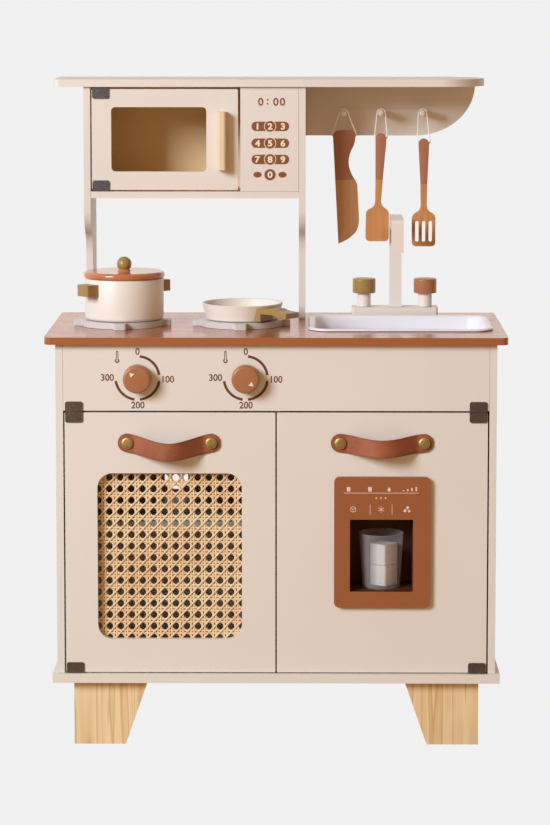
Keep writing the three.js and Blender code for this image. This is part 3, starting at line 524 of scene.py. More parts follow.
def leather_material():
    m = Mat("leather")
    att = m.n("ShaderNodeAttribute", attribute_name="edge")
    edge = att.outputs["Fac"]
    tone = m.mix(m.remap(m.noise(28, 4, 0.6), 0.3, 0.7, 0, 1), srgb(170, 95, 62), srgb(143, 75, 45))
    vor = m.n("ShaderNodeTexVoronoi", feature="DISTANCE_TO_EDGE")
    vor.inputs["Scale"].default_value = 1500
    m.link(m.coord, vor.inputs["Vector"])
    pore = m.remap(vor.outputs["Distance"], 0.0, 0.12, 1.0, 0.0)
    tone = m.mix(m.math("MULTIPLY", pore, 0.25), tone, srgb(118, 60, 38))
    tone = m.mix(m.remap(m.noise(420, 3, 0.6), 0.5, 0.8, 0, 0.3), tone, srgb(198, 124, 90))
    m.color(m.mix(m.math("MULTIPLY", edge, 0.75), tone, srgb(104, 52, 32)))
    m.set(Specular_IOR_Level=0.42)
    m.rough(m.remap(m.noise(300, 3, 0.6), 0.3, 0.7, 0.46, 0.62))
    h = m.math("ADD", m.math("MULTIPLY", pore, -0.6), m.noise(2600, 2, 0.6))
    m.normal(m.bump(h, 0.35, 0.00022))
    return m.m


leather = leather_material()


def plastic(name, rgb, rough, spec=0.5, var=0.02, texture=0.0, scale=1500):
    m = Mat(name)
    c = srgb(*rgb)
    m.color(m.mix(m.remap(m.noise(12, 3, 0.5), 0.3, 0.7, 0, 1), scaled(c, 1 - var), scaled(c, 1 + var)))
    m.set(Specular_IOR_Level=spec, Roughness=rough)
    m.rough(m.remap(m.noise(80, 3, 0.6), 0.3, 0.7, max(rough - 0.04, 0.02), rough + 0.05))
    if texture:
        m.normal(m.bump(m.noise(scale, 2, 0.6), texture, 0.00015))
    return m.m


sink_white = plastic("sink_plastic", (236, 232, 240), 0.20, 0.5, 0.01, 0.06, 300)
disp_plastic = plastic("dispenser_plastic", (158, 92, 52), 0.42, 0.35, 0.03, 0.25)
# dark brown painted into the dispenser niche: painted shade for its dim inside
niche_painted_shade = plastic("niche_painted_shade", (92, 48, 30), 0.55, 0.3, 0.05, 0.2)
ice_mat = plastic("ice_plastic", (238, 232, 228), 0.28, 0.5, 0.03, 0.15, 200)
cord_mat = plastic("cord", (248, 242, 236), 0.85, 0.2, 0.03, 0.6, 3200)

clear = Mat("clear_plastic")
clear.color(clear.mix(clear.remap(clear.noise(30, 3, 0.5), 0.3, 0.7, 0, 1), srgb(206, 198, 206), srgb(222, 214, 222)))
clear.set(Roughness=0.12, IOR=1.46, Specular_IOR_Level=0.5)
_lw = clear.n("ShaderNodeLayerWeight")
_lw.inputs["Blend"].default_value = 0.22
clear.link(clear.remap(_lw.outputs["Facing"], 0.0, 0.9, 0.10, 0.62), clear.b.inputs["Alpha"])
clear.rough(clear.remap(clear.noise(60, 3, 0.6), 0.3, 0.7, 0.08, 0.18))
clear = clear.m

# ------------------------------------------------------------------ carried-over CAD boards
CADMAT = {
    "cream_paint": cream, "counter_terracotta": counter, "pine": pine, "peg_wood": pegwood, "hinge_metal": hinge_metal,
    "olive_paint": olive, "terracotta_paint": terra, "burner_grey": grey, "sink_plastic": sink_white, "cane": cane,
    "leather": leather, "dispenser_plastic": disp_plastic, "clear_plastic": clear, "ice_plastic": ice_mat, "beech": beech,
    "cord": cord_mat, "rail_wood": rail,
}
SLOT = {s["node"]: s["material_slot"] for s in frame["record"]["subparts"]}
for n, o in NODES.items():
    o.data.materials.clear()
    o.data.materials.append(CADMAT[SLOT[n]])
for n in ("side_panel_left", "side_panel_right", "bottom_board", "fascia_panel", "centre_divider", "oven_shelf",
          "microwave_floor", "microwave_control_panel"):
    bevel(NODES[n], 0.9, 3)
for n in ("foot_front_left", "foot_front_right", "foot_rear_left", "foot_rear_right"):
    bevel(NODES[n], 1.6, 3)
bevel(NODES["back_panel"], 0.5, 2)

# ------------------------------------------------------------------ microwave compartment: painted shade, a warm tan painted into the cream inside the recess
def paint_cavity_shade(base):
    # the cream inside the microwave recess turns tan: painted shade standing in for the warm dark of the recess
    mat = base.copy()
    mat.name = "cream_paint_tan_painted_shade"
    nt = mat.node_tree
    shader = next(n_ for n_ in nt.nodes if n_.type == "BSDF_PRINCIPLED")
    src = shader.inputs["Base Color"].links[0].from_socket
    geo = nt.nodes.new("ShaderNodeNewGeometry")
    sp = nt.nodes.new("ShaderNodeSeparateXYZ")
    nt.links.new(geo.outputs["Position"], sp.inputs[0])
    # box around the microwave recess where the tan painted shade goes
    lo_, hi_ = W(-246.5, 45.0, 714.5), W(-30.0, 160.0, 861.0)
    mask = None
    for axis in range(3):
        a_ = nt.nodes.new("ShaderNodeMath")
        a_.operation = "SUBTRACT"
        nt.links.new(sp.outputs[axis], a_.inputs[0])
        a_.inputs[1].default_value = (lo_[axis] + hi_[axis]) / 2
        b_ = nt.nodes.new("ShaderNodeMath")
        b_.operation = "ABSOLUTE"
        nt.links.new(a_.outputs[0], b_.inputs[0])
        c_ = nt.nodes.new("ShaderNodeMath")
        c_.operation = "LESS_THAN"
        nt.links.new(b_.outputs[0], c_.inputs[0])
        c_.inputs[1].default_value = (hi_[axis] - lo_[axis]) / 2
        if mask is None:
            mask = c_.outputs[0]
        else:
            d_ = nt.nodes.new("ShaderNodeMath")
            d_.operation = "MULTIPLY"
            nt.links.new(mask, d_.inputs[0])
            nt.links.new(c_.outputs[0], d_.inputs[1])
            mask = d_.outputs[0]
    mx = nt.nodes.new("ShaderNodeMix")
    mx.data_type = "RGBA"
    nt.links.new(mask, mx.inputs["Factor"])
    nt.links.new(src, mx.inputs[6])
    # tan colour of the painted shade
    mx.inputs[7].default_value = srgb(240, 204, 156)
    nt.links.new(mx.outputs[2], shader.inputs["Base Color"])
    return mat


cavity_painted_shade = paint_cavity_shade(cream)
# boards reaching into the microwave recess take the tan painted shade
for n in NODES:
    if "door" not in n and "hinge" not in n:
        o = NODES[n]
        for i_, m_ in enumerate(o.data.materials):
            if m_ == cream:
                pts_ = [o.matrix_world @ Vector(c_) for c_ in o.bound_box]
                if max(p_.z for p_ in pts_) > 0.70 and min(p_.x for p_ in pts_) < -0.03:
                    o.data.materials[i_] = cavity_painted_shade

# ------------------------------------------------------------------ hinge plates: pressed steel, folded over the board's edge
def hinge_piece(node, body, fold):
    """fold is +1 where the flange is along the top of the plate and -1 where it is along the bottom."""
    lo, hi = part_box(node)
    x0, x1, z0_, z1_ = lo.x * 1000, hi.x * 1000, lo.z * 1000, hi.z * 1000
    yf = lo.y * 1000 - SHIFT
    yb_ = hi.y * 1000 - SHIFT
    pinned = node.startswith("fascia")
    if pinned:
        z0_ = 443.5 - 0.3 - 0.8
    r = [0.5, 0.5, 3.0, 3.0] if fold < 0 else [3.0, 3.0, 0.5, 0.5]
    t_ = 1.1
    a_ = plate(node + "_face", rrect(x0, z0_, x1, z1_, r, 8), [], "y", yf, yf + t_, 0.45, 3)
    ft = 0.8 if pinned else (0.6 if "bottom" in node and "microwave" not in node else (0.7 if "microwave" not in node else (0.9 if fold > 0 else 0.8)))
    zf = (z0_, z0_ + ft) if fold < 0 else (z1_ - ft, z1_)
    b_ = plate(node + "_fold", rrect(x0 + 0.2, yf + 0.5, x1 - 0.2, (FRONT_PIN if pinned else yb_), [0.2, 0.2, 2.5, 2.5], 6), [], "z", zf[0] + 0.02, zf[1] - 0.02, 0.15, 2)
    pieces = [a_, b_]
    if pinned:
        px = -263.5 if "left" in node else 263.5
        pieces.append(lathe(node + "_pin", [(0, 435.0), (1.2, 435.0), (1.5, 435.4), (1.5, 442.9), (0, 442.9)], px, -135.25, n=20))
    o = join(node.replace("hinge", "hinge_leaf"), pieces)
    return part(o, body, hinge_grey if body == "microwave_door" else hinge_metal, node)


FRONT_PIN = -131.3
hinge_piece("fascia_hinge_left", "cabinet", -1)
hinge_piece("fascia_hinge_right", "cabinet", -1)
for d_ in ("oven", "cold"):
    hinge_piece(d_ + "_hinge_top", d_ + "_door", 1)
    hinge_piece(d_ + "_hinge_bottom", d_ + "_door", -1)
hinge_piece("microwave_hinge_top", "microwave_door", 1)
hinge_piece("microwave_hinge_bottom", "microwave_door", -1)

# ------------------------------------------------------------------ worktop
SINK = dict(x0=42, x1=286, y0=-82, y1=95, r=27, rim=9)
top = plate("worktop_board", rrect(-300, -150, 300, 150, [9, 9, 3, 3], 12),
            [list(reversed(rrect(SINK["x0"] + 9, SINK["y0"] + 9, SINK["x1"] - 9, SINK["y1"] - 9, 18, 10)))], "z", 530.5, 540, 1.3, 4)
part(top, "cabinet", counter, "countertop")

# sink: one continuous shell, lofted through rounded outlines with soft radii
def ring_at(inset, r, z, n=12):
    return [(x, y, z) for x, y in rrect(SINK["x0"] + inset, SINK["y0"] + inset, SINK["x1"] - inset, SINK["y1"] - inset, max(r - inset * 0.72, 5), n)]


z1 = 540.3
prof = [(19.2, z1 + 3 - 52), (13.5, z1 - 47.5), (10.6, z1 - 40), (9.6, z1 - 0.2)]  # outside, from the bottom up
prof += [(1.2, z1 + 0.0), (0.25, z1 + 0.35), (0.0, z1 + 1.1), (0.3, z1 + 2.1), (1.2, z1 + 2.8), (2.4, z1 + 3.0)]  # rim
prof += [(5.2, z1 + 3.0), (7.2, z1 + 2.6), (8.9, z1 + 1.4), (10.2, z1 - 0.6), (11.2, z1 - 4), (12.8, z1 - 20), (14.6, z1 - 36), (17.0, z1 - 42), (21.0, z1 - 45.3), (27, z1 - 46.6), (40, z1 - 46.9)]
rings = [ring_at(a, 27, z) for a, z in prof]
o = loft("sink", rings, sharp=50)
part(o, "cabinet", sink_white, "sink_basin")

# ------------------------------------------------------------------ hutch
def hutch_outline():
    return outline((140.7, 540.3), (140.7, 856.7), (30, 856.7), (30, 690), ("q", (32, 672), (50, 660)), ("q", (67, 650), (68, 628)), (68, 540.3), n=14)


for n, x in (("hutch_side_left", -260), ("hutch_side_right", 29)):
    o = plate(n.replace("hutch_side", "upright"), hutch_outline(), [], "x", x, x + 9, 0.9, 3)
    part(o, "cabinet", cavity_painted_shade, n)

pts = outline((-292, 25), (218, 25), ("a", 218, 87, 62, -90, 0), ("a", 218, 88, 62, 0, 90), (-292, 150), ("a", -292, 142, 8, 90, 180), ("a", -292, 33, 8, 180, 270), n=24)
o = plate("shelf_top", pts, [], "z", 857, 867, 1.1, 4)
pin = lathe("pin_a", [(0, 848), (1.3, 848), (1.5, 848.3), (1.5, 857.5), (0, 857.5)], -238, 34.5, n=20)
o = join("shelf_board", [o, pin])
part(o, "cabinet", cream, "top_shelf")

zt = 856.7
pts = outline((-260, 707.5), (38, 707.5), (38, 786.5), (189, 786.5)) + [(189 + 82 * cos(radians(a)), zt + (zt - 786.5) * sin(radians(a))) for a in range(-86, 1, 4)] + [(-260, zt)]
o = plate("peg_board", pts, [list(reversed(circle(x, 819, 4.8, 24))) for x in (90, 141.3, 197.6)], "y", 141, 150, 0.7, 3)
part(o, "cabinet", cavity_painted_shade, "hutch_back")

for n, x in zip(("peg_left", "peg_middle", "peg_right"), (90, 141.3, 197.6)):
    o = lathe(n.replace("peg", "hook_peg"), [(0, 101), (1.6, 101.15), (2.9, 101.7), (3.9, 102.7), (4.35, 103.9), (4.5, 105.4), (4.5, 147.5), (0, 147.5)], x, 0, 819, "y", 40)
    part(o, "cabinet", pegwood, n)

# ------------------------------------------------------------------ doors
def door(name, node, body, x0, x1, y0, y1, z0, z1, holes, mat=cream, r=1.5):
    o = plate(name, rrect(x0, z0, x1, z1, r, 5), holes, "y", y0, y1, 1.0, 4)
    return part(o, body, mat, node)


door("oven_door_panel", "oven_door", "oven_door", -274.5, -1, -140, -130.5, 98.5, 441, [list(reversed(rrect(-232.5, 142.2, -44.5, 361.5, 20, 16)))])
door("microwave_door_panel", "microwave_door", "microwave_door", -249, -52.7, 30, 39, 718.5, 854, [list(reversed(rrect(-222.8, 743.3, -95.1, 829.8, 5.5, 8)))], r=2.5)
door("cold_door_panel", "cold_door", "cold_door", 1, 274.5, -140, -130.5, 98.5, 441, [list(reversed(rrect(92.7, 203.7, 181.3, 305.3, 1, 3)))])

# microwave bar handle
o = plate("bar_handle", rrect(-80.4, 12.7, -68.4, 29.7, [3.8, 3.8, 0.6, 0.6], 8), [], "z", 746, 824, 1.0, 3)
part(o, "microwave_door", rail, "microwave_handle")


# ------------------------------------------------------------------ cane webbing
def ribbon(pts, width, thick, nrm=(0, 1, 0)):
    """Flat-oval strand along points in mm; returns verts and faces."""
    prof = [(-0.5, 0.0), (-0.34, 0.42), (0.0, 0.5), (0.34, 0.42), (0.5, 0.0), (0.34, -0.42), (0, -0.5), (-0.34, -0.42)]
    vs, fs = [], []
    N = Vector(nrm)
    n = len(pts)
    k = len(prof)
    for i, p in enumerate(pts):
        a = Vector(pts[max(i - 1, 0)])
        b = Vector(pts[min(i + 1, n - 1)])
        t = (b - a).normalized()
        s = t.cross(N).normalized()
        up = s.cross(t).normalized()
        for u, v in prof:
            q = Vector(p) + s * (u * width) + up * (v * thick)
            vs.append(tuple(q))
    for i in range(n - 1):
        for j in range(k):
            j2 = (j + 1) % k
            fs.append((i * k + j, i * k + j2, (i + 1) * k + j2, (i + 1) * k + j))
    fs.append(tuple(reversed(range(k))))
    fs.append(tuple((n - 1) * k + j for j in range(k)))
    return vs, fs


def strands(name, items, width, thick):
    V, F = [], []
    for pts in items:
        vs, fs = ribbon(pts, width, thick)
        base = len(V)
        V += vs
        F += [tuple(base + i for i in f) for f in fs]
    me = bpy.data.meshes.new(name)
    me.from_pydata([W(*v) for v in V], [], F)
    me.update()
    bm = bmesh.new()
    bm.from_mesh(me)
    bmesh.ops.recalc_face_normals(bm, faces=bm.faces)
    bm.to_mesh(me)
    bm.free()
    me.shade_smooth()
    return link(bpy.data.objects.new(name, me))


CX0, CX1, CZ0, CZ1 = -241.5, -35.5, 133.2, 370.5
PX, PZ = 14.43, 15.15
HX, HZ = -217.6, 339.1      # centre of a hole
YC = -129.2                 # middle of the sheet
vert, horiz, diag1, diag2 = [], [], [], []
i0 = math.floor((CX0 - HX) / PX) - 1
i1 = math.ceil((CX1 - HX) / PX) + 1
j0 = math.floor((CZ0 - HZ) / PZ) - 1
j1 = math.ceil((CZ1 - HZ) / PZ) + 1
for i in range(i0, i1 + 1):
    for s, off in ((-1, -1.82), (1, 1.82)):
        x = HX + (i + 0.5) * PX + off
        if CX0 < x < CX1:
            pts = []
            j = j0
            z = CZ0
            while z <= CZ1 + 0.01:
                ph = (z - HZ) / PZ * pi * 2 + (pi if s > 0 else 0)
                pts.append((x + 0.12 * sin(z * 0.31 + i), YC - 0.28 * cos(ph), min(z, CZ1)))
                z += PZ / 6
            vert.append(pts)
for j in range(j0, j1 + 1):
    for s, off in ((-1, -1.82), (1, 1.82)):
        z = HZ + (j + 0.5) * PZ + off
        if CZ0 < z < CZ1:
            pts = []
            x = CX0
            while x <= CX1 + 0.01:
                ph = (x - HX) / PX * pi * 2 + (pi if s > 0 else 0)
                pts.append((min(x, CX1), YC + 0.28 * cos(ph), z + 0.12 * sin(x * 0.29 + j)))
                x += PX / 6
            horiz.append(pts)


def clip(p, q):
    t0, t1 = 0.0, 1.0
    dx, dz = q[0] - p[0], q[1] - p[1]
    for d, lo, hi, c in ((dx, CX0, CX1, p[0]), (dz, CZ0, CZ1, p[1])):
        if abs(d) < 1e-9:
            if not lo <= c <= hi:
                return None
            continue
        a, b = (lo - c) / d, (hi - c) / d
        if a > b:
            a, b = b, a
        t0, t1 = max(t0, a), min(t1, b)
    if t1 - t0 < 1e-3:
        return None
    return (p[0] + dx * t0, p[1] + dz * t0), (p[0] + dx * t1, p[1] + dz * t1)


for d, store, yy in ((1, diag1, -0.78), (-1, diag2, 0.78)):
    for k in range(-(i1 - i0) - (j1 - j0) - 4, (i1 - i0) + (j1 - j0) + 5):
        # diagonals cut the corners of the holes, so each hole is an octagon
        xa = HX + (k + 0.5) * PX
        za = HZ
        p = (xa - 40 * PX, za - d * 40 * PZ)
        q = (xa + 40 * PX, za + d * 40 * PZ)
        c = clip(p, q)
        if not c:
            continue
        (ax, az), (bx, bz) = c
        L = hypot(bx - ax, bz - az)
        n = max(2, int(L / 3.4))
        pts = []
        for t in range(n + 1):
            x = ax + (bx - ax) * t / n
            z = az + (bz - az) * t / n
            ph = ((x - HX) / PX - 0.5) * 2 * pi
            pts.append((x, YC + yy - 0.12 * cos(ph) * d, z))
        store.append(pts)
sheet_parts = [strands("cane_v", vert, 2.6, 0.5), strands("cane_h", horiz, 2.6, 0.5), strands("cane_d1", diag1, 2.35, 0.5), strands("cane_d2", diag2, 2.35, 0.5)]
o = join("cane_webbing", sheet_parts)
part(o, "oven_door", cane, "cane_panel")

# ------------------------------------------------------------------ leather strap handles
STRAP = dict(half=54.4, end=12.2, z=401.6, t=2.4, bulge=25.0)


def strap_at(u, droop, bend):
    """How far the band stands out of the door, and where its top and bottom edges are, at u along it."""
    reach = STRAP["half"] - 9
    bow = 0 if abs(u) >= reach else 1 - (hypot(u, bend) - bend) / (hypot(reach, bend) - bend)
    k = bow * bow * (3 - 2 * bow) * 0.35 + bow * 0.65
    v = 22
    H = hypot(STRAP["half"], v)
    a = min(abs(u), STRAP["half"])
    slope = droop * STRAP["half"] / H / (H - v)
    here = droop * a / hypot(a, v) / (H - v)
    zc = -droop * (1 - (hypot(a, v) - v) / (H - v)) + slope * max(0, abs(u) - STRAP["half"])
    half = STRAP["end"] * hypot(1, here) * (1 - 0.04 * (1 - a / STRAP["half"]))
    t = STRAP["half"] - abs(u)
    lean = STRAP["end"] * slope / hypot(1, slope)
    rnd = sqrt(max(STRAP["end"] ** 2 - t * t, 0.16))
    return -STRAP["bulge"] * k, (rnd if t < lean else zc + half), (-rnd if t < -lean else zc - half)


def strap(name, xc, droop, bend):
    full = STRAP["half"] + STRAP["end"]
    n = 12
    us = [-STRAP["half"] - STRAP["end"] * cos(radians(90 * i / n)) for i in range(n + 1)]
    m = 84
    us += [-STRAP["half"] + 2 * STRAP["half"] * i / m for i in range(1, m)]
    us += [STRAP["half"] + STRAP["end"] * cos(radians(90 * i / n)) for i in range(n, -1, -1)]
    us[0] += 0.02
    us[-1] -= 0.02
    # section across the width: v from -1 to 1 with a crease line just inside each edge, then round edges
    vs = [-1.0, -0.985, -0.95, -0.90, -0.865, -0.83, -0.79, -0.5, -0.25, 0, 0.25, 0.5, 0.79, 0.83, 0.865, 0.90, 0.95, 0.985, 1.0]
    front_off = [0.50, 0.80, 0.97, 1.0, 0.84, 1.0, 1.0, 1.0, 1.0, 1.0, 1.0, 1.0, 1.0, 1.0, 0.84, 1.0, 0.97, 0.80, 0.50]
    verts, faces, edge = [], [], []
    h = STRAP["t"] / 2
    rows = []
    g = [(k, math.exp(-k * k / 4)) for k in range(-3, 4)]
    wsum = sum(w for _, w in g)
    ys = [sum(strap_at(u + k * 1.2, droop, bend)[0] * w for k, w in g) / wsum for u in us]
    for idx, u in enumerate(us):
        y = ys[idx]
        i0_, i1_ = max(idx - 1, 0), min(idx + 1, len(us) - 1)
        slope = (ys[i1_] - ys[i0_]) / max(us[i1_] - us[i0_], 1e-6)
        nn = 1 / hypot(1, slope)
        nx, ny = -slope * nn, nn
        _, top_, bot_ = strap_at(u, droop, bend)
        half, mid_ = (top_ - bot_) / 2, (top_ + bot_) / 2
        cx, cy, cz = xc + u, -140.3 - h + y, STRAP["z"] + mid_
        row = []
        endk = min(1.0, (full - abs(u)) / 2.4)
        fo = 0.5 + 0.5 * sqrt(max(0, 1 - (1 - endk) ** 2)) if endk < 1 else 1.0
        crease_end = 1.0 - 0.16 * math.exp(-((full - abs(u) - 1.7) / 0.4) ** 2)
        for v, f in zip(vs, front_off):
            th = h * (2 * min(f, crease_end) - 1) * (fo * 2 - 1 if endk < 1 else 1)
            row.append(len(verts))
            verts.append((cx - nx * th, cy - ny * th, cz + v * half))
            d = min(half * (1 - abs(v)), full - abs(u))
            edge.append(max(0.0, 1 - d / 0.9) + 0.5 * math.exp(-((d - 1.65) / 0.4) ** 2))
        for v, f in reversed(list(zip(vs, front_off))):
            if abs(v) == 1.0:
                continue
            th = h * (2 * (1.0 if abs(v) < 0.97 else 0.8) - 1)
            row.append(len(verts))
            verts.append((cx + nx * th, cy + ny * th, cz + v * half))
            edge.append(0.3)
        rows.append(row)
    k = len(rows[0])
    for r, q in zip(rows, rows[1:]):
        for i in range(k):
            j = (i + 1) % k
            faces.append((r[i], r[j], q[j], q[i]))
    faces.append(tuple(reversed(rows[0])))
    faces.append(tuple(rows[-1]))
    me = bpy.data.meshes.new(name)
    me.from_pydata([W(*v) for v in verts], [], faces)
    at_ = me.attributes.new("edge", "FLOAT", "POINT")
    at_.data.foreach_set("value", [min(1.0, e) for e in edge])
    bm = bmesh.new()
    bm.from_mesh(me)
    bmesh.ops.recalc_face_normals(bm, faces=bm.faces)
    bm.to_mesh(me)
    bm.free()
    me.shade_smooth()
    return link(bpy.data.objects.new(name, me))


def strap_screw(name, x, z, body):
    y0 = -142.7
    prof = [(0, y0 - 3.4), (3.0, y0 - 3.36), (5.4, y0 - 3.22), (6.05, y0 - 3.1), (6.3, y0 - 2.85), (6.55, y0 - 2.8), (6.85, y0 - 2.95), (7.2, y0 - 2.75), (7.5, y0 - 2.3), (7.6, y0 - 1.7), (7.6, y0 - 0.5), (7.3, y0 + 0.05), (0, y0 + 0.6)]
    o = lathe(name, prof, x, 0, z, "y", 72, 60)
    paint(o, brass)
    part(o, body, None)
    return o


for body, node, xc, droop, bend in (("oven_door", "oven_strap", -138.85, 9, 10), ("cold_door", "cold_strap", 137.55, 4.6, 16)):
    o = strap(node.split("_")[0] + "_leather_strap", xc, droop, bend)
    part(o, body, leather, node)
    strap_screw(node.split("_")[0] + "_screw_left", xc - 54.4, 401.6, body)
    strap_screw(node.split("_")[0] + "_screw_right", xc + 54.4, 401.6, body)

# ------------------------------------------------------------------ dispenser
FR = -140.3
o1 = plate("disp_face", rrect(75.5, 185.7, 200.2, 357.7, 7, 12), [list(reversed(rrect(96, 207, 178, 302, 1.2, 4)))], "y", FR - 6, FR, 1.6, 4)
paint(o1, disp_plastic)


def niche_box():
    y0, y1, w = FR - 4.6, FR - 6 + 70, 3
    a = [(96, 207), (178, 207), (178, 302), (96, 302)]
    b = [(96 - w, 207 - w), (178 + w, 207 - w), (178 + w, 302 + w), (96 - w, 302 + w)]
    V = [(x, y0, z) for x, z in a] + [(x, y1, z) for x, z in a] + [(x, FR + 0.2, z) for x, z in b] + [(x, y1 + w, z) for x, z in b] + [(x, y0, z) for x, z in [(95.9, 206.9), (178.1, 206.9), (178.1, 302.1), (95.9, 302.1)]]
    F = []
    for i in range(4):
        j = (i + 1) % 4
        F.append((i, j, 4 + j, 4 + i))
        F.append((8 + i, 12 + i, 12 + j, 8 + j))
        F.append((i, 8 + i, 8 + j, j))
    F.append((4, 5, 6, 7))
    F.append((15, 14, 13, 12))
    return make("niche", V[:16], F, smooth=False)


o2 = niche_box()
o2.data.materials.append(disp_plastic)
o2.data.materials.append(niche_painted_shade)
# the niche's inner walls get the dark painted shade, the rest the housing plastic
for p in o2.data.polygons:
    c = p.center * 1000
    inside = 95.5 < c.x < 178.5 and 206.5 < c.z < 302.5 and c.y - SHIFT < FR - 6 + 70.5
    p.material_index = 1 if inside else 0
o = join("dispenser", [o1, o2])
part(o, "cold_door", None, "dispenser_housing")

CUPX, CUPY, CUPZ = 137.6, -110.0, 207.3
k = 0.95
prof = [(0, CUPZ + 0.9), (19.5, CUPZ + 0.9), (21.0, CUPZ), (23.4, CUPZ), (24.4, CUPZ + 0.7), (24.75, CUPZ + 2.2), (28.0, CUPZ + 52), (29.1, CUPZ + 69.6), (29.5, CUPZ + 70.4), (29.5, CUPZ + 71.4), (29.0, CUPZ + 72), (28.3, CUPZ + 71.9), (27.9, CUPZ + 71), (27.7, CUPZ + 69.5),
        (26.6, CUPZ + 52), (23.5, CUPZ + 3.8), (22.2, CUPZ + 2.6), (0, CUPZ + 2.4)]
o = lathe("clear_cup", prof, CUPX, CUPY, n=96, sharp=70)
part(o, "cup", clear, "cup")

for i, (dz, rot) in enumerate(((2.9, 0.08), (2.9 + 27.6, 0.05))):
    hs = 13.25
    ice = plate(f"ice_cube_{i + 1}", rrect(-hs, -hs, hs, hs, 2.2, 4), [], "z", CUPZ + dz, CUPZ + dz + 26.9, 1.6, 3)
    a = pi / 4 + rot
    for v in ice.data.vertices:
        px, py = v.co.x * 1000, v.co.y * 1000 - SHIFT
        x, y = px * cos(a) - py * sin(a), px * sin(a) + py * cos(a)
        v.co.x, v.co.y = (CUPX + 3.2 + x) / 1000, (CUPY + 0.3 + y + SHIFT) / 1000
    part(ice, "cup", ice_mat, "ice_block")

# ------------------------------------------------------------------ knobs and taps
def printed(name, pts, y, mat, body, holes=(), t=0.12):
    o = plate(name, pts, holes, "y", y - t, y, 0)
    return part(o, body, mat)


for n, x, ang in (("stove_knob_left", -179.6, 135), ("stove_knob_right", -39.4, -38)):
    y0 = -160
    prof = [(0, y0), (14.6, y0), (16.2, y0 + 0.25), (17.2, y0 + 0.9), (17.8, y0 + 1.9), (18, y0 + 3.2), (18, y0 + 18.6), (17.7, y0 + 19.3), (16.9, y0 + 19.6), (4, y0 + 19.6), (4, y0 + 30.3), (7.5, y0 + 30.3), (7.5, y0 + 32.5), (0, y0 + 32.5)]
    o = lathe(n.replace("stove_knob", "hob_knob"), prof, x, 0, 486.3, "y", 96)
    part(o, n, terra, n)
    a = radians(ang)
    c, s = cos(a), sin(a)
    tri = [(13.2, 0), (7.6, 3.3), (7.6, -3.3)]
    pts = [(x + p * c - q * s, 486.3 + p * s + q * c) for p, q in tri]
    printed(n + "_pointer", pts, y0 + 0.02, light_print, n, t=0.14)

for n, x, m, slot in (("tap_left", 118.9, olive, "olive_paint"), ("tap_right", 202.8, terra, "terracotta_paint")):
    stem = lathe(n + "_s", [(0, 546.3), (4, 546.3), (4, 552.32), (8.9, 552.32), (9.25, 552.7), (9.25, 571.2), (0, 571.2)], x, 119, n=64)
    paint(stem, cream_gloss)
    cap = lathe(n + "_c", [(0, 571.0), (14.6, 571.0), (15.4, 571.3), (15.75, 572)] + [(15.75, 588.6)] + arc(13.65, 588.9, 2.1, 0, 90, 6) + [(0, 591)], x, 119, n=96)
    paint(cap, m)
    o = join(n.replace("tap", "tap_handle"), [stem, cap])
    part(o, n, None, n)

# ------------------------------------------------------------------ faucet
o = plate("faucet_block", rrect(102, 103, 220, 135, 3.5, 8), [list(reversed(circle(x, 119, r, 24))) for x, r in ((118.9, 4.3), (161.8, 5.3), (202.8, 4.3))], "z", 540.3, 552, 1.2, 4)
part(o, "cabinet", cream_gloss, "faucet_base")
yb, yf, wT, hy, hz, tp = 119 + 8.2, 119 - 8.2, 16.4, 25, 634.5, 679.5
pts = outline((yf, 552.3), (yb, 552.3), ("a", yb - 14, tp - 14, 14, 0, 90), ("a", hy + 6, tp - 6, 6, 90, 180), (hy, hz),
              (hy + wT, hz), ("a", hy + wT + 5, tp - wT - 5, 5, 180, 90), ("a", yf - 5, tp - wT - 5, 5, 90, 0), n=12)
o = plate("faucet_body", pts, [], "x", 153.6, 170.0, 1.9, 5)
part(o, "cabinet", cream_gloss, "faucet_spout")

# ------------------------------------------------------------------ burners
for n, x in (("burner_left", -206.5), ("burner_right", -47.4)):
    R, rr, h = 65.0, 54.5, 8.5
    pts = []
    a_l = math.asin(h / rr)
    for q in range(4):
        base = q * pi / 2
        # disc edge from the last lobe to this one, then out round the lobe
        for i in range(25):
            t = base - pi / 2 + a_l + 0.04 + (pi / 2 - 2 * a_l - 0.08) * i / 24
            pts.append((rr * cos(t), rr * sin(t)))
        c, s = cos(base), sin(base)
        lobe = [(rr + 0.2, -h)] + [(R - 3 + 3 * cos(radians(d)), -h + 3 + 3 * sin(radians(d))) for d in range(-90, 1, 15)] + [(R - 3 + 3 * cos(radians(d)), h - 3 + 3 * sin(radians(d))) for d in range(0, 91, 15)] + [(rr + 0.2, h)]
        pts += [(u * c - v * s, u * s + v * c) for u, v in lobe]
    pts = [(x + u, -7 + v) for u, v in pts]
    o = plate(n.replace("burner", "hob_plate"), pts, [], "z", 540.3, 548.5, 1.3, 4)
    part(o, "cabinet", grey, n)

# ------------------------------------------------------------------ pot, lid and pan
px_, py_, z0 = -204, -7, 549.1
prof = [(0, z0), (48, z0)] + arc(48, z0 + 4.5, 4.5, -90, 0, 8) + [(52.5, 603.2), (52.2, 603.8), (51.6, 604), (50.4, 604), (49.8, 603.7), (49.5, 603)] + [(49.5, z0 + 9)] + [(49.5 - 5 + 5 * cos(radians(a)), z0 + 9 + 5 * sin(radians(a))) for a in range(0, -91, -15)] + [(0, z0 + 4)]
part(lathe("pot", prof, px_, py_, n=128), "pot", cream_gloss, "pot_body")


def grip(name, node, az):
    a = radians(az)
    c, s = cos(a), sin(a)
    pts = [(sqrt(52.8 ** 2 - v * v), v) for v in [-12 + 24 * i / 12 for i in range(13)]]
    out = rrect(60, -12, 69.5, 12, [0, 2.6, 2.6, 0], 6)
    outer = [p for p in out if p[0] > 60.01]
    ring = [(u, v) for u, v in pts][::-1] + outer
    o = plate(name, [(px_ + u * c - v * s, py_ + u * s + v * c) for u, v in ring], [], "z", 583, 598, 1.3, 4)
    part(o, "pot", olive, node)


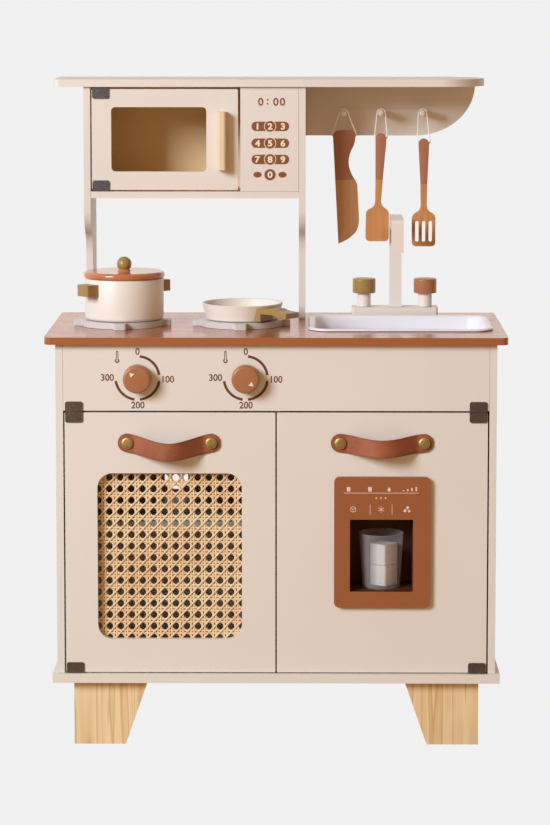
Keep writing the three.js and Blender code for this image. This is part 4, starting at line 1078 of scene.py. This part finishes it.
grip("pot_grip_left", "pot_handle_left", 220)
grip("pot_grip_right", "pot_handle_right", 40)
zl = 604.3
prof = [(0, zl - 4), (48.0, zl - 4), (48.5, zl - 3.5), (48.5, zl), (51.9, zl)] + arc(51.6, zl + 2.7, 2.6, -85, 0, 5) + arc(50.0, zl + 4.5, 4.2, 5, 86, 8) + [(47, zl + 8.75), (9.6, zl + 8.7)]
lid = lathe("lid_a", prof + [(0, zl + 8.7)], px_, py_, n=128)
paint(lid, terra_gloss)
neck = lathe("lid_n", [(0, zl + 8.2), (9.3, zl + 8.3), (9.0, zl + 9.2), (8.0, zl + 10.1), (7.2, zl + 11.2), (0, zl + 12)], px_, py_, n=64)
paint(neck, terra_gloss)
ball = lathe("lid_b", [(9.8 * cos(radians(a)), 622.3 + 9.8 * sin(radians(a))) for a in range(-90, 91, 6)], px_, py_, n=64)
for v in ball.data.vertices:
    pass
paint(ball, olive)
o = join("lid", [lid, neck, ball])
part(o, "pot_lid", None, "pot_lid")

px2, py2 = -46.2, -7
prof = [(0, z0), (45.5, z0)] + [(45.5 + 3 * sin(radians(a)), z0 + 3 - 3 * cos(radians(a))) for a in range(10, 80, 12)] + [(48.6, z0 + 3.2), (53.7, 569.8), (53.75, 570.5), (53.3, 571), (52.2, 571), (51.2, 570.7), (50.8, 570.0)] + [(46.6, z0 + 7.5), (45.2, z0 + 5.4), (42.8, z0 + 4.3), (38, z0 + 4), (0, z0 + 4)]
part(lathe("pan", prof, px2, py2, n=128), "pan", cream_gloss, "pan_body")


def pan_grip():
    az, near, width, L = radians(-35.5), 29.0, 29.0, 93.0
    prof = outline((36, 550.6), (51, 550.6), (51, 560.2), (68, 560.2), ("q", (73, 559.6), (77, 556.8)), (92, 556.2), (L, 557.2), (L, 563.6), (80, 564.6), ("q", (74, 565.6), (70, 567.4)), (36, 567.8), n=8)
    def wall_r(z):
        return 48.8 + (54.1 - 48.8) * max(0, min(1, (z - 551.6) / 18.6))
    c, s = cos(az), sin(az)
    steps = 14
    rings = []
    for i in range(steps + 1):
        v = -near + width * i / steps
        ring = []
        for u, z in prof:
            r = wall_r(z)
            uw = sqrt(max(r * r - v * v, 0))
            uu = max(u, uw + 0.15) if u < 37 else max(u, uw + 0.16)
            ring.append((px2 + uu * c - v * s, py2 + uu * s + v * c, z))
        rings.append(ring)
    o = loft("pan_grip", rings, sharp=30)
    bevel(o, 0.9, 3, 40)
    return part(o, "pan", olive, "pan_handle")


pan_grip()

# ------------------------------------------------------------------ hanging utensils and their cord loops
PEGR, PEGZ, UY, UT, CR, CB = 4.5, 819.0, 105.0, 6.0, 0.8, 3.4


def loop_path(pegx, left, right):
    R = PEGR + 0.3 + CR
    mid = ((left[0] + right[0]) / 2, (left[1] + right[1]) / 2)
    halves = []
    for side, end in ((-1, left), (1, right)):
        out = end[0] + side * (CR + 0.35)
        half = [(mid[0] + side * 0.7, mid[1]), (mid[0] + side * (abs(end[0] - mid[0]) * 0.45 + 0.3), mid[1] + (end[1] - mid[1]) * 0.5)]
        cx, base = out - side * CB, end[1]
        for a in (0, 22, 45, 68):
            half.append((cx + side * CB * sin(radians(a)), base + CB - CB * cos(radians(a))))
        half.append((out, base + CB + 0.6))
        dx, dz = side * (pegx - out), PEGZ - (base + CB + 0.6)
        d = hypot(dx, dz)
        t = atan2(-dz, -dx) + acos(min(1, R / d))
        tp = (pegx + side * R * cos(t), PEGZ + R * sin(t))
        st = half[-1]
        for f in (0.33, 0.67):
            half.append((st[0] + (tp[0] - st[0]) * f, st[1] + (tp[1] - st[1]) * f))
        for k_ in range(5):
            q = t + (pi / 2 - t) * k_ / 5
            half.append((pegx + side * R * cos(q), PEGZ + R * sin(q)))
        halves.append(half)
    return halves[0] + [(pegx, PEGZ + R)] + halves[1][::-1]


def catmull(pts, per=6):
    """Centripetal Catmull-Rom through the points, as the CAD route is drawn."""
    P = [Vector(p) for p in pts]
    out = []
    for i in range(len(P) - 1):
        p1, p2 = P[i], P[i + 1]
        p0 = P[i - 1] if i else p1 + (p1 - p2)
        p3 = P[i + 2] if i + 2 < len(P) else p2 + (p2 - p1)
        t0 = 0.0
        t1 = t0 + max((p1 - p0).length, 1e-6) ** 0.5
        t2 = t1 + max((p2 - p1).length, 1e-6) ** 0.5
        t3 = t2 + max((p3 - p2).length, 1e-6) ** 0.5
        for k_ in range(per):
            t = t1 + (t2 - t1) * k_ / per
            a1 = p0 * ((t1 - t) / (t1 - t0)) + p1 * ((t - t0) / (t1 - t0))
            a2 = p1 * ((t2 - t) / (t2 - t1)) + p2 * ((t - t1) / (t2 - t1))
            a3 = p2 * ((t3 - t) / (t3 - t2)) + p3 * ((t - t2) / (t3 - t2))
            b1 = a1 * ((t2 - t) / (t2 - t0)) + a2 * ((t - t0) / (t2 - t0))
            b2 = a2 * ((t3 - t) / (t3 - t1)) + a3 * ((t - t1) / (t3 - t1))
            out.append(b1 * ((t2 - t) / (t2 - t1)) + b2 * ((t - t1) / (t2 - t1)))
    out.append(P[-1])
    return out


def cord_loop(key, pegx, left, right):
    pts = [W(x, UY, z) for x, z in loop_path(pegx, left, right)]
    line = catmull(pts, 5)
    cu = bpy.data.curves.new(key + "_string", "CURVE")
    cu.dimensions = "3D"
    sp = cu.splines.new("POLY")
    sp.points.add(len(line) - 1)
    for q, p in zip(sp.points, line):
        q.co = (*p, 1)
    cu.bevel_depth = CR / 1000
    cu.bevel_resolution = 3
    cu.use_fill_caps = True
    o = link(bpy.data.objects.new(key + "_string", cu))
    o.data.materials.append(cord_mat)
    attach(o, key + "_loop")
    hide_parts(key + "_cord")
    return o


def utensil(key, pts, holes, left, right, zb, paint_mat, wood_mat, tilt=0.0):
    """Flat wooden utensil with a painted grip above zb and rounded edges."""
    y0, y1 = UY - UT / 2, UY + UT / 2
    def half(keep_top):
        sel = []
        n = len(pts)
        for i in range(n):
            a, b = pts[i], pts[(i + 1) % n]
            za, zc = zb + tilt * (a[0] - left[0]), zb + tilt * (b[0] - left[0])
            ina, inb = (a[1] >= za) == keep_top, (b[1] >= zc) == keep_top
            if ina:
                sel.append(a)
            if ina != inb:
                t = (za - a[1]) / ((b[1] - a[1]) - (zc - za)) if abs((b[1] - a[1]) - (zc - za)) > 1e-9 else 0
                sel.append((a[0] + (b[0] - a[0]) * t, a[1] + (b[1] - a[1]) * t))
        return sel
    o = plate(key + "_whole", pts, holes, "y", y0, y1, 1.5, 4)
    # the paint is a material boundary on one solid: cut the mesh along the line and colour the faces above it
    dg = bpy.context.evaluated_depsgraph_get()
    me = bpy.data.meshes.new_from_object(o.evaluated_get(dg))
    bm = bmesh.new()
    bm.from_mesh(me)
    no = Vector((-tilt, 0, 1)).normalized()
    co = W(left[0], 0, zb)
    bmesh.ops.bisect_plane(bm, geom=bm.verts[:] + bm.edges[:] + bm.faces[:], plane_co=co, plane_no=no, dist=1e-7)
    for f in bm.faces:
        f.smooth = True
    bm.to_mesh(me)
    bm.free()
    bpy.data.objects.remove(o, do_unlink=True)
    me.materials.clear()
    me.materials.append(paint_mat)
    me.materials.append(wood_mat)
    for p in me.polygons:
        p.material_index = 0 if (p.center - co).dot(no) > 0 else 1
    o = link(bpy.data.objects.new(key + "_body", me))
    # the cord hole: cut with the cord's own channel, a little wider at the mouths
    cutter = [lathe(key + "_cut", [(0, left[0] - 2), (1.25, left[0] - 2), (1.25, right[0] + 2), (0, right[0] + 2)], 0, UY, (left[1] + right[1]) / 2, "x", 20)]
    for p, sgn in ((left, -1), (right, 1)):
        a, b = (p[0] - 1.2, p[0] + 3) if sgn < 0 else (p[0] - 3, p[0] + 1.2)
        prof = [(0, a), (2.1, a), (1.3, b), (0, b)] if sgn < 0 else [(0, a), (1.3, a), (2.1, b), (0, b)]
        cutter.append(lathe(key + "_cut2", prof, 0, UY, p[1] + 0.6, "x", 20))
    for c_ in cutter:
        b_ = o.modifiers.new("Hole", "BOOLEAN")
        b_.operation = "DIFFERENCE"
        b_.solver = "EXACT"
        b_.object = c_
    dg = bpy.context.evaluated_depsgraph_get()
    dg.update()
    me2 = bpy.data.meshes.new_from_object(o.evaluated_get(dg))
    o.modifiers.clear()
    o.data = me2
    for c_ in cutter:
        bpy.data.objects.remove(c_, do_unlink=True)
    bm = bmesh.new()
    bm.from_mesh(me2)
    for e in bm.edges:
        e.smooth = not (len(e.link_faces) == 2 and e.calc_face_angle(0) > radians(38))
    bm.to_mesh(me2)
    bm.free()
    for p in me2.polygons:
        p.material_index = 0 if (p.center - co).dot(no) > 0 else 1
    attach(o, key)
    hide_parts(key)
    return o


kn = outline((80, 794.2), ("q", (91, 796.2), (102.6, 795.4)), ("q", (105.8, 792), (106, 786)), ("q", (106, 778), (102, 771)), ("q", (96.6, 761), (97, 750)), ("q", (98, 740), (104, 730)),
             ("q", (108.6, 724), (108.9, 720)), (111.4, 675), ("q", (111.6, 660), (104, 653)), ("q", (97, 645.5), (83.1, 640.2)), (78, 739.4), (75.5, 786), ("q", (76, 792), (80, 794.2)), n=10)
utensil("knife", kn, [], (75.6, 786.2), (106, 786.2), 727.0, handle_paint, beech_knife, 0.03)
cord_loop("knife", 90, (75.6, 786.2), (106, 786.2))

dx = -2.0
c = 142.9 + dx
sp_ = outline((c - 7.4, 783), ("a", c, 784, 7.4, 180, 0), (c + 7.3, 778), (145.6 + dx, 728), (143.4 + dx, 699), ("q", (143.6 + dx, 692), (149 + dx, 688.5)), ("q", (154 + dx, 686), (154.2 + dx, 681)),
              (154 + dx, 649), ("q", (153.6 + dx, 643.8), (148 + dx, 643.5)), (128 + dx, 643.5), ("q", (122.4 + dx, 644), (122.2 + dx, 649.5)), (122.8 + dx, 681), ("q", (123 + dx, 685.5), (128.5 + dx, 688)), ("q", (135 + dx, 691), (135.4 + dx, 698)), (135.7 + dx, 728), n=12)
utensil("spatula", sp_, [], (c - 7.4, 783.4), (c + 7.4, 783.4), 728, handle_paint, beech)
cord_loop("spatula", 141.3, (c - 7.4, 783.4), (c + 7.4, 783.4))

c = 199.5
tu = outline((c - 7.2, 776), ("a", c, 777, 7.2, 180, 0), (c + 7.1, 771), (204.4, 722), (203.9, 693), ("q", (204, 686), (210.5, 682.6)), ("q", (215.6, 680), (215.8, 675)), (215.8, 642), ("q", (215.4, 636.9), (210, 636.5)),
             (189.4, 636.5), ("q", (184, 636.9), (183.7, 642.5)), (183.7, 675), ("q", (184, 679.6), (189, 682.6)), ("q", (195.6, 686), (195.6, 693)), (195.2, 722), n=12)
utensil("turner", tu, [list(reversed(rrect(x - 2.4, 642.7, x + 2.4, 671.3, 2.3, 6))) for x in (190.6, 199.8, 208.9)], (c - 7.2, 776.4), (c + 7.2, 776.4), 722, handle_paint, beech)
cord_loop("turner", 197.6, (c - 7.2, 776.4), (c + 7.2, 776.4))


# ------------------------------------------------------------------ printed marks
def text(name, s, size, x, z, y, mat, body, weight=0.0, t=0.1, squeeze=1.0):
    cu = bpy.data.curves.new(name, "FONT")
    cu.body = s
    cu.size = size / 1000 / 0.70
    cu.align_x = "CENTER"
    cu.align_y = "CENTER"
    cu.extrude = t / 2000
    cu.offset = weight / 1000
    cu.resolution_u = 6
    tmp = link(bpy.data.objects.new(name + "_t", cu))
    bpy.context.view_layer.update()
    me = bpy.data.meshes.new_from_object(tmp.evaluated_get(bpy.context.evaluated_depsgraph_get()))
    bpy.data.objects.remove(tmp, do_unlink=True)
    xs = [v.co.x for v in me.vertices]
    ys = [v.co.y for v in me.vertices]
    cx, cy = (min(xs) + max(xs)) / 2, (min(ys) + max(ys)) / 2
    for v in me.vertices:
        px, pz, pt = (v.co.x - cx) * squeeze, v.co.y - cy, v.co.z
        v.co = W(x, y, z) + Vector((px, -pt, pz))
    bm = bmesh.new()
    bm.from_mesh(me)
    bmesh.ops.remove_doubles(bm, verts=bm.verts, dist=1e-7)
    bmesh.ops.recalc_face_normals(bm, faces=bm.faces)
    bm.to_mesh(me)
    bm.free()
    o = link(bpy.data.objects.new(name, me))
    me.materials.clear()
    return part(o, body, mat)


SF = 3636.0


def at(px, py, y):
    """Millimetres on the plane at depth y for a place on the front view."""
    s = SF / (y + 4900.0)
    return 47 + (px - 312) / s, 1117.7 - (py + 105) / s


# keypad
yk = 30.0
sk = SF / 4930.0
cols = [-26.5, -9.65, 7.6]
rows = [804.1, 781.5, 759.7, 739.2]
for r in range(3):
    z = rows[r]
    x0, x1 = -35.2, 16.4
    printed(f"key_bar_{r}", rrect(x0 + 0.6, z - 6.4, x1 - 0.4, z + 6.4, 6.3, 10), yk + 0.02, brown_print, "cabinet", t=0.10)
    printed(f"key_ring_{r}", circle(cols[1], z, 8.2, 48), yk + 0.0, light_print, "cabinet", t=0.14)
    printed(f"key_disc_{r}", circle(cols[1], z, 7.3, 48), yk + 0.0, brown_print, "cabinet", t=0.20)
    for c_ in range(3):
        text(f"digit_{r}_{c_}", str(1 + 3 * r + c_), 8.0, cols[c_], z, yk - 0.22, light_print, "cabinet", 0.42, 0.1, 1.15)
printed("key_disc_3", circle(cols[1], rows[3], 7.6, 48), yk, brown_print, "cabinet", t=0.16)
text("digit_3_1", "0", 8.0, cols[1], rows[3], yk - 0.2, light_print, "cabinet", 0.42, 0.1, 1.15)
for i, x in enumerate((cols[0], cols[2] - 0.6)):
    pts = [(x + 5.6 * cos(t / 24 * 2 * pi), rows[3] + 3.9 * sin(t / 24 * 2 * pi)) for t in range(24)]
    printed(f"key_dot_{i}", pts, yk, brown_print, "cabinet", t=0.12)
for i, (ch, x) in enumerate((("0", -22.1), (":", -12.9), ("0", -1.9), ("0", 7.0))):
    text(f"clock_{i}", ch, 10.0 if ch != ":" else 10.4, x, 837.0, yk - 0.02, brown_print, "cabinet", 0.36, 0.1, 1.04)

# hob dials
yf_ = -140.0
for di, x in enumerate((-179.6, -39.4)):
    z = 486.3
    for ai, (a0, a1) in enumerate(((84, 8), (-8, -84), (-98, -172))):
        n = 24
        outer = [(x + 30 * cos(radians(a0 + (a1 - a0) * i / n)), z + 30 * sin(radians(a0 + (a1 - a0) * i / n))) for i in range(n + 1)]
        inner = [(x + 26.6 * cos(radians(a0 + (a1 - a0) * i / n)), z + 26.6 * sin(radians(a0 + (a1 - a0) * i / n))) for i in range(n, -1, -1)]
        printed(f"dial_{di}_arc_{ai}", list(reversed(outer + inner)), yf_ + 0.02, dial_print, "cabinet", t=0.12)
    for ti, (s_, ox, oz) in enumerate((("0", 0.2, 34.6), ("100", 40.0, -1.6), ("200", 0.4, -35.4), ("300", -38.9, 0.6))):
        text(f"dial_{di}_num_{ti}", s_, 8.6, x + ox, z + oz, yf_ - 0.02, dial_print, "cabinet", 0.22, 0.1, 0.95)
    # thermometer
    tx, tz = x - 26.2, z + 27.6
    stem = outline((tx - 1.5, tz - 3.5), ("a", tx, tz - 5.2, 3.0, 125, 415), (tx + 1.5, tz + 6.2), ("a", tx, tz + 6.3, 1.5, 0, 180), n=14)
    hole = list(reversed(outline((tx - 0.55, tz - 3.6), ("a", tx, tz - 5.2, 1.3, 130, 410), (tx + 0.55, tz + 5.8), ("a", tx, tz + 5.8, 0.55, 0, 180), n=10)))
    printed(f"thermo_{di}", stem, yf_ + 0.02, dial_print, "cabinet", [hole], t=0.12)

# dispenser print: generic lines and pictograms
yd = FR - 6.0
def dline(name, x0, x1, z0_, z1_):
    printed(name, [(x0, z0_), (x1, z0_), (x1, z1_), (x0, z1_)], yd + 0.02, white_print, "cold_door", t=0.1)


xa, za = at(343.2, 492.2, yd)
xb, _ = at(417.4, 492.2, yd)
dline("disp_rule", xa, xb, za - 0.35, za + 0.35)
for i, px_i in enumerate((369.5, 391.2)):
    x, zt_ = at(px_i, 503.6, yd)
    _, zb_ = at(px_i, 513.9, yd)
    dline(f"disp_sep_{i}", x - 0.3, x + 0.3, zb_, zt_)


def ring_print(name, x, z, r, w, sides=40, a0=0.0):
    printed(name, circle(x, z, r, sides, a0), yd + 0.02, white_print, "cold_door", [list(reversed(circle(x, z, r - w, sides, a0)))], t=0.1)


def disc_print(name, x, z, r, sides=32, a0=0.0):
    printed(name, circle(x, z, r, sides, a0), yd + 0.02, white_print, "cold_door", t=0.1)


# upper row: two solid glasses, a drop, four level bars
for i, (pxi, fill) in enumerate(((348.0, 0.4), (369.2, 0.85))):
    x, z = at(pxi, 488.4, yd)
    printed(f"disp_glass_{i}", [(x - 2.6, z + 2.9), (x - 2.0, z - 2.9), (x + 2.0, z - 2.9), (x + 2.6, z + 2.9)], yd + 0.02, white_print, "cold_door",
            [list(reversed([(x - 2.1, z + 2.9 - 0.01), (x - 2.1 + 0.0, z + 2.4), (x - 1.65, z - 2.45 + 4.9 * fill), (x + 1.65, z - 2.45 + 4.9 * fill), (x + 2.1, z + 2.4), (x + 2.1, z + 2.9 - 0.01)]))] if False else (), t=0.1)
x, z = at(388.2, 488.4, yd)
printed("disp_drop", outline((x, z + 3.2), ("a", x, z - 0.9, 2.1, 150, 390), n=16), yd + 0.02, white_print, "cold_door", t=0.1)
for i in range(4):
    x, z = at(402.5 + i * 4.2, 488.4, yd)
    dline(f"disp_level_{i}", x - 1.0, x + 1.0, z - 2.4, z - 2.4 + 1.4 * (i + 1))
# middle: three small dots
for i in range(3):
    x, z = at(375.5 + i * 4.6, 497.2, yd)
    disc_print(f"disp_dot_{i}", x, z, 1.1)
# lower row: cube outline, snowflake, broken pieces
x, z = at(352.6, 508.6, yd)
printed("disp_cube", circle(x, z, 4.2, 6, pi / 6), yd + 0.02, white_print, "cold_door", [list(reversed(circle(x, z, 3.5, 6, pi / 6)))], t=0.1)
for i in range(3):
    a = radians(90 + 120 * i)
    nx_, nz_ = -sin(a) * 0.32, cos(a) * 0.32
    printed(f"disp_cube_edge_{i}", [(x + nx_, z + nz_), (x - nx_, z - nz_), (x - nx_ + 3.7 * cos(a + pi), z - nz_ + 3.7 * sin(a + pi)), (x + nx_ + 3.7 * cos(a + pi), z + nz_ + 3.7 * sin(a + pi))], yd + 0.02, white_print, "cold_door", t=0.1)
x, z = at(380.3, 508.6, yd)
for i in range(3):
    a = radians(30 + 60 * i)
    nx_, nz_ = -sin(a) * 0.32, cos(a) * 0.32
    dxx, dzz = 4.2 * cos(a), 4.2 * sin(a)
    printed(f"disp_flake_{i}", [(x + dxx + nx_, z + dzz + nz_), (x - dxx + nx_, z - dzz + nz_), (x - dxx - nx_, z - dzz - nz_), (x + dxx - nx_, z + dzz - nz_)], yd + 0.02 - 0.005 * i, white_print, "cold_door", t=0.1)
x, z = at(406.5, 508.6, yd)
for i, (ox, oz, r_, s_) in enumerate(((-3.1, -1.6, 2.3, 5), (2.2, -2.2, 2.0, 4), (0.2, 2.3, 2.2, 5))):
    disc_print(f"disp_chip_{i}", x + ox, z + oz, r_, s_, 0.4 + i)

# ------------------------------------------------------------------ stage: world and key light
world = bpy.data.worlds.new("studio")
scene.world = world
world.use_nodes = True
t = world.node_tree
t.nodes.clear()


def wn(kind, **props):
    node = t.nodes.new(kind)
    for k_, v_ in props.items():
        setattr(node, k_, v_)
    return node


# white sweep all round for the view; a bright backdrop behind the kitchen and a dim warm room in front of it for its light
out = wn("ShaderNodeOutputWorld")
lp = wn("ShaderNodeLightPath")
tc = wn("ShaderNodeTexCoord")
sep = wn("ShaderNodeSeparateXYZ")
t.links.new(tc.outputs["Generated"], sep.inputs[0])
half = wn("ShaderNodeMath", operation="MULTIPLY_ADD")
half.inputs[1].default_value = 0.5
half.inputs[2].default_value = 0.5
t.links.new(sep.outputs["Y"], half.inputs[0])


def along_y(stops):
    """Room light by direction: 0 is the room in front of the kitchen, 1 the wall behind it."""
    r_ = wn("ShaderNodeValToRGB")
    e = r_.color_ramp.elements
    e[0].position, e[0].color = stops[0][0], (*stops[0][1], 1)
    e[1].position, e[1].color = stops[-1][0], (*stops[-1][1], 1)
    for p_, c_ in stops[1:-1]:
        e.new(p_).color = (*c_, 1)
    t.links.new(half.outputs[0], r_.inputs[0])
    b_ = wn("ShaderNodeBackground")
    t.links.new(r_.outputs[0], b_.inputs["Color"])
    return b_


view = wn("ShaderNodeBackground")
view.inputs["Color"].default_value = (0.877, 0.877, 0.877, 1)
gloss = along_y([(0.0, (0.20, 0.16, 0.13)), (0.32, (0.20, 0.16, 0.13)), (0.72, (0.98, 0.88, 0.82)), (1.0, (0.98, 0.88, 0.82))])
soft = along_y([(0.0, (0.75, 0.46, 0.20)), (0.125, (0.45, 0.30, 0.145)), (0.30, (0.25, 0.18, 0.11)), (0.5, (0.24, 0.19, 0.14)), (0.75, (0.55, 0.48, 0.42))])
m1 = wn("ShaderNodeMixShader")
m2 = wn("ShaderNodeMixShader")
t.links.new(lp.outputs["Is Diffuse Ray"], m1.inputs[0])
t.links.new(gloss.outputs[0], m1.inputs[1])
t.links.new(soft.outputs[0], m1.inputs[2])
t.links.new(lp.outputs["Is Camera Ray"], m2.inputs[0])
t.links.new(m1.outputs[0], m2.inputs[1])
t.links.new(view.outputs[0], m2.inputs[2])
t.links.new(m2.outputs[0], out.inputs[0])


def area(name, loc, target, size, power, color=(1, 1, 1), size_y=None):
    l = bpy.data.lights.new(name, "AREA")
    l.energy = power
    l.size = size
    if size_y:
        l.shape = "RECTANGLE"
        l.size_y = size_y
    l.color = color
    o = link(bpy.data.objects.new(name, l))
    o.location = loc
    o.rotation_euler = (Vector(target) - Vector(loc)).to_track_quat("-Z", "Y").to_euler()
    return o


D_ = 5.0
key_dir = Vector((-0.95, -1.0, 0.60)).normalized()
aim = Vector((0.0, 0.0, 0.42))
area("key", aim + key_dir * D_, aim, 1.7, 204, (1.0, 1.15, 1.29))

scene.view_settings.view_transform = "Standard"
scene.view_settings.look = "None"
scene.view_settings.exposure = 0.0
scene.view_settings.gamma = 1.0
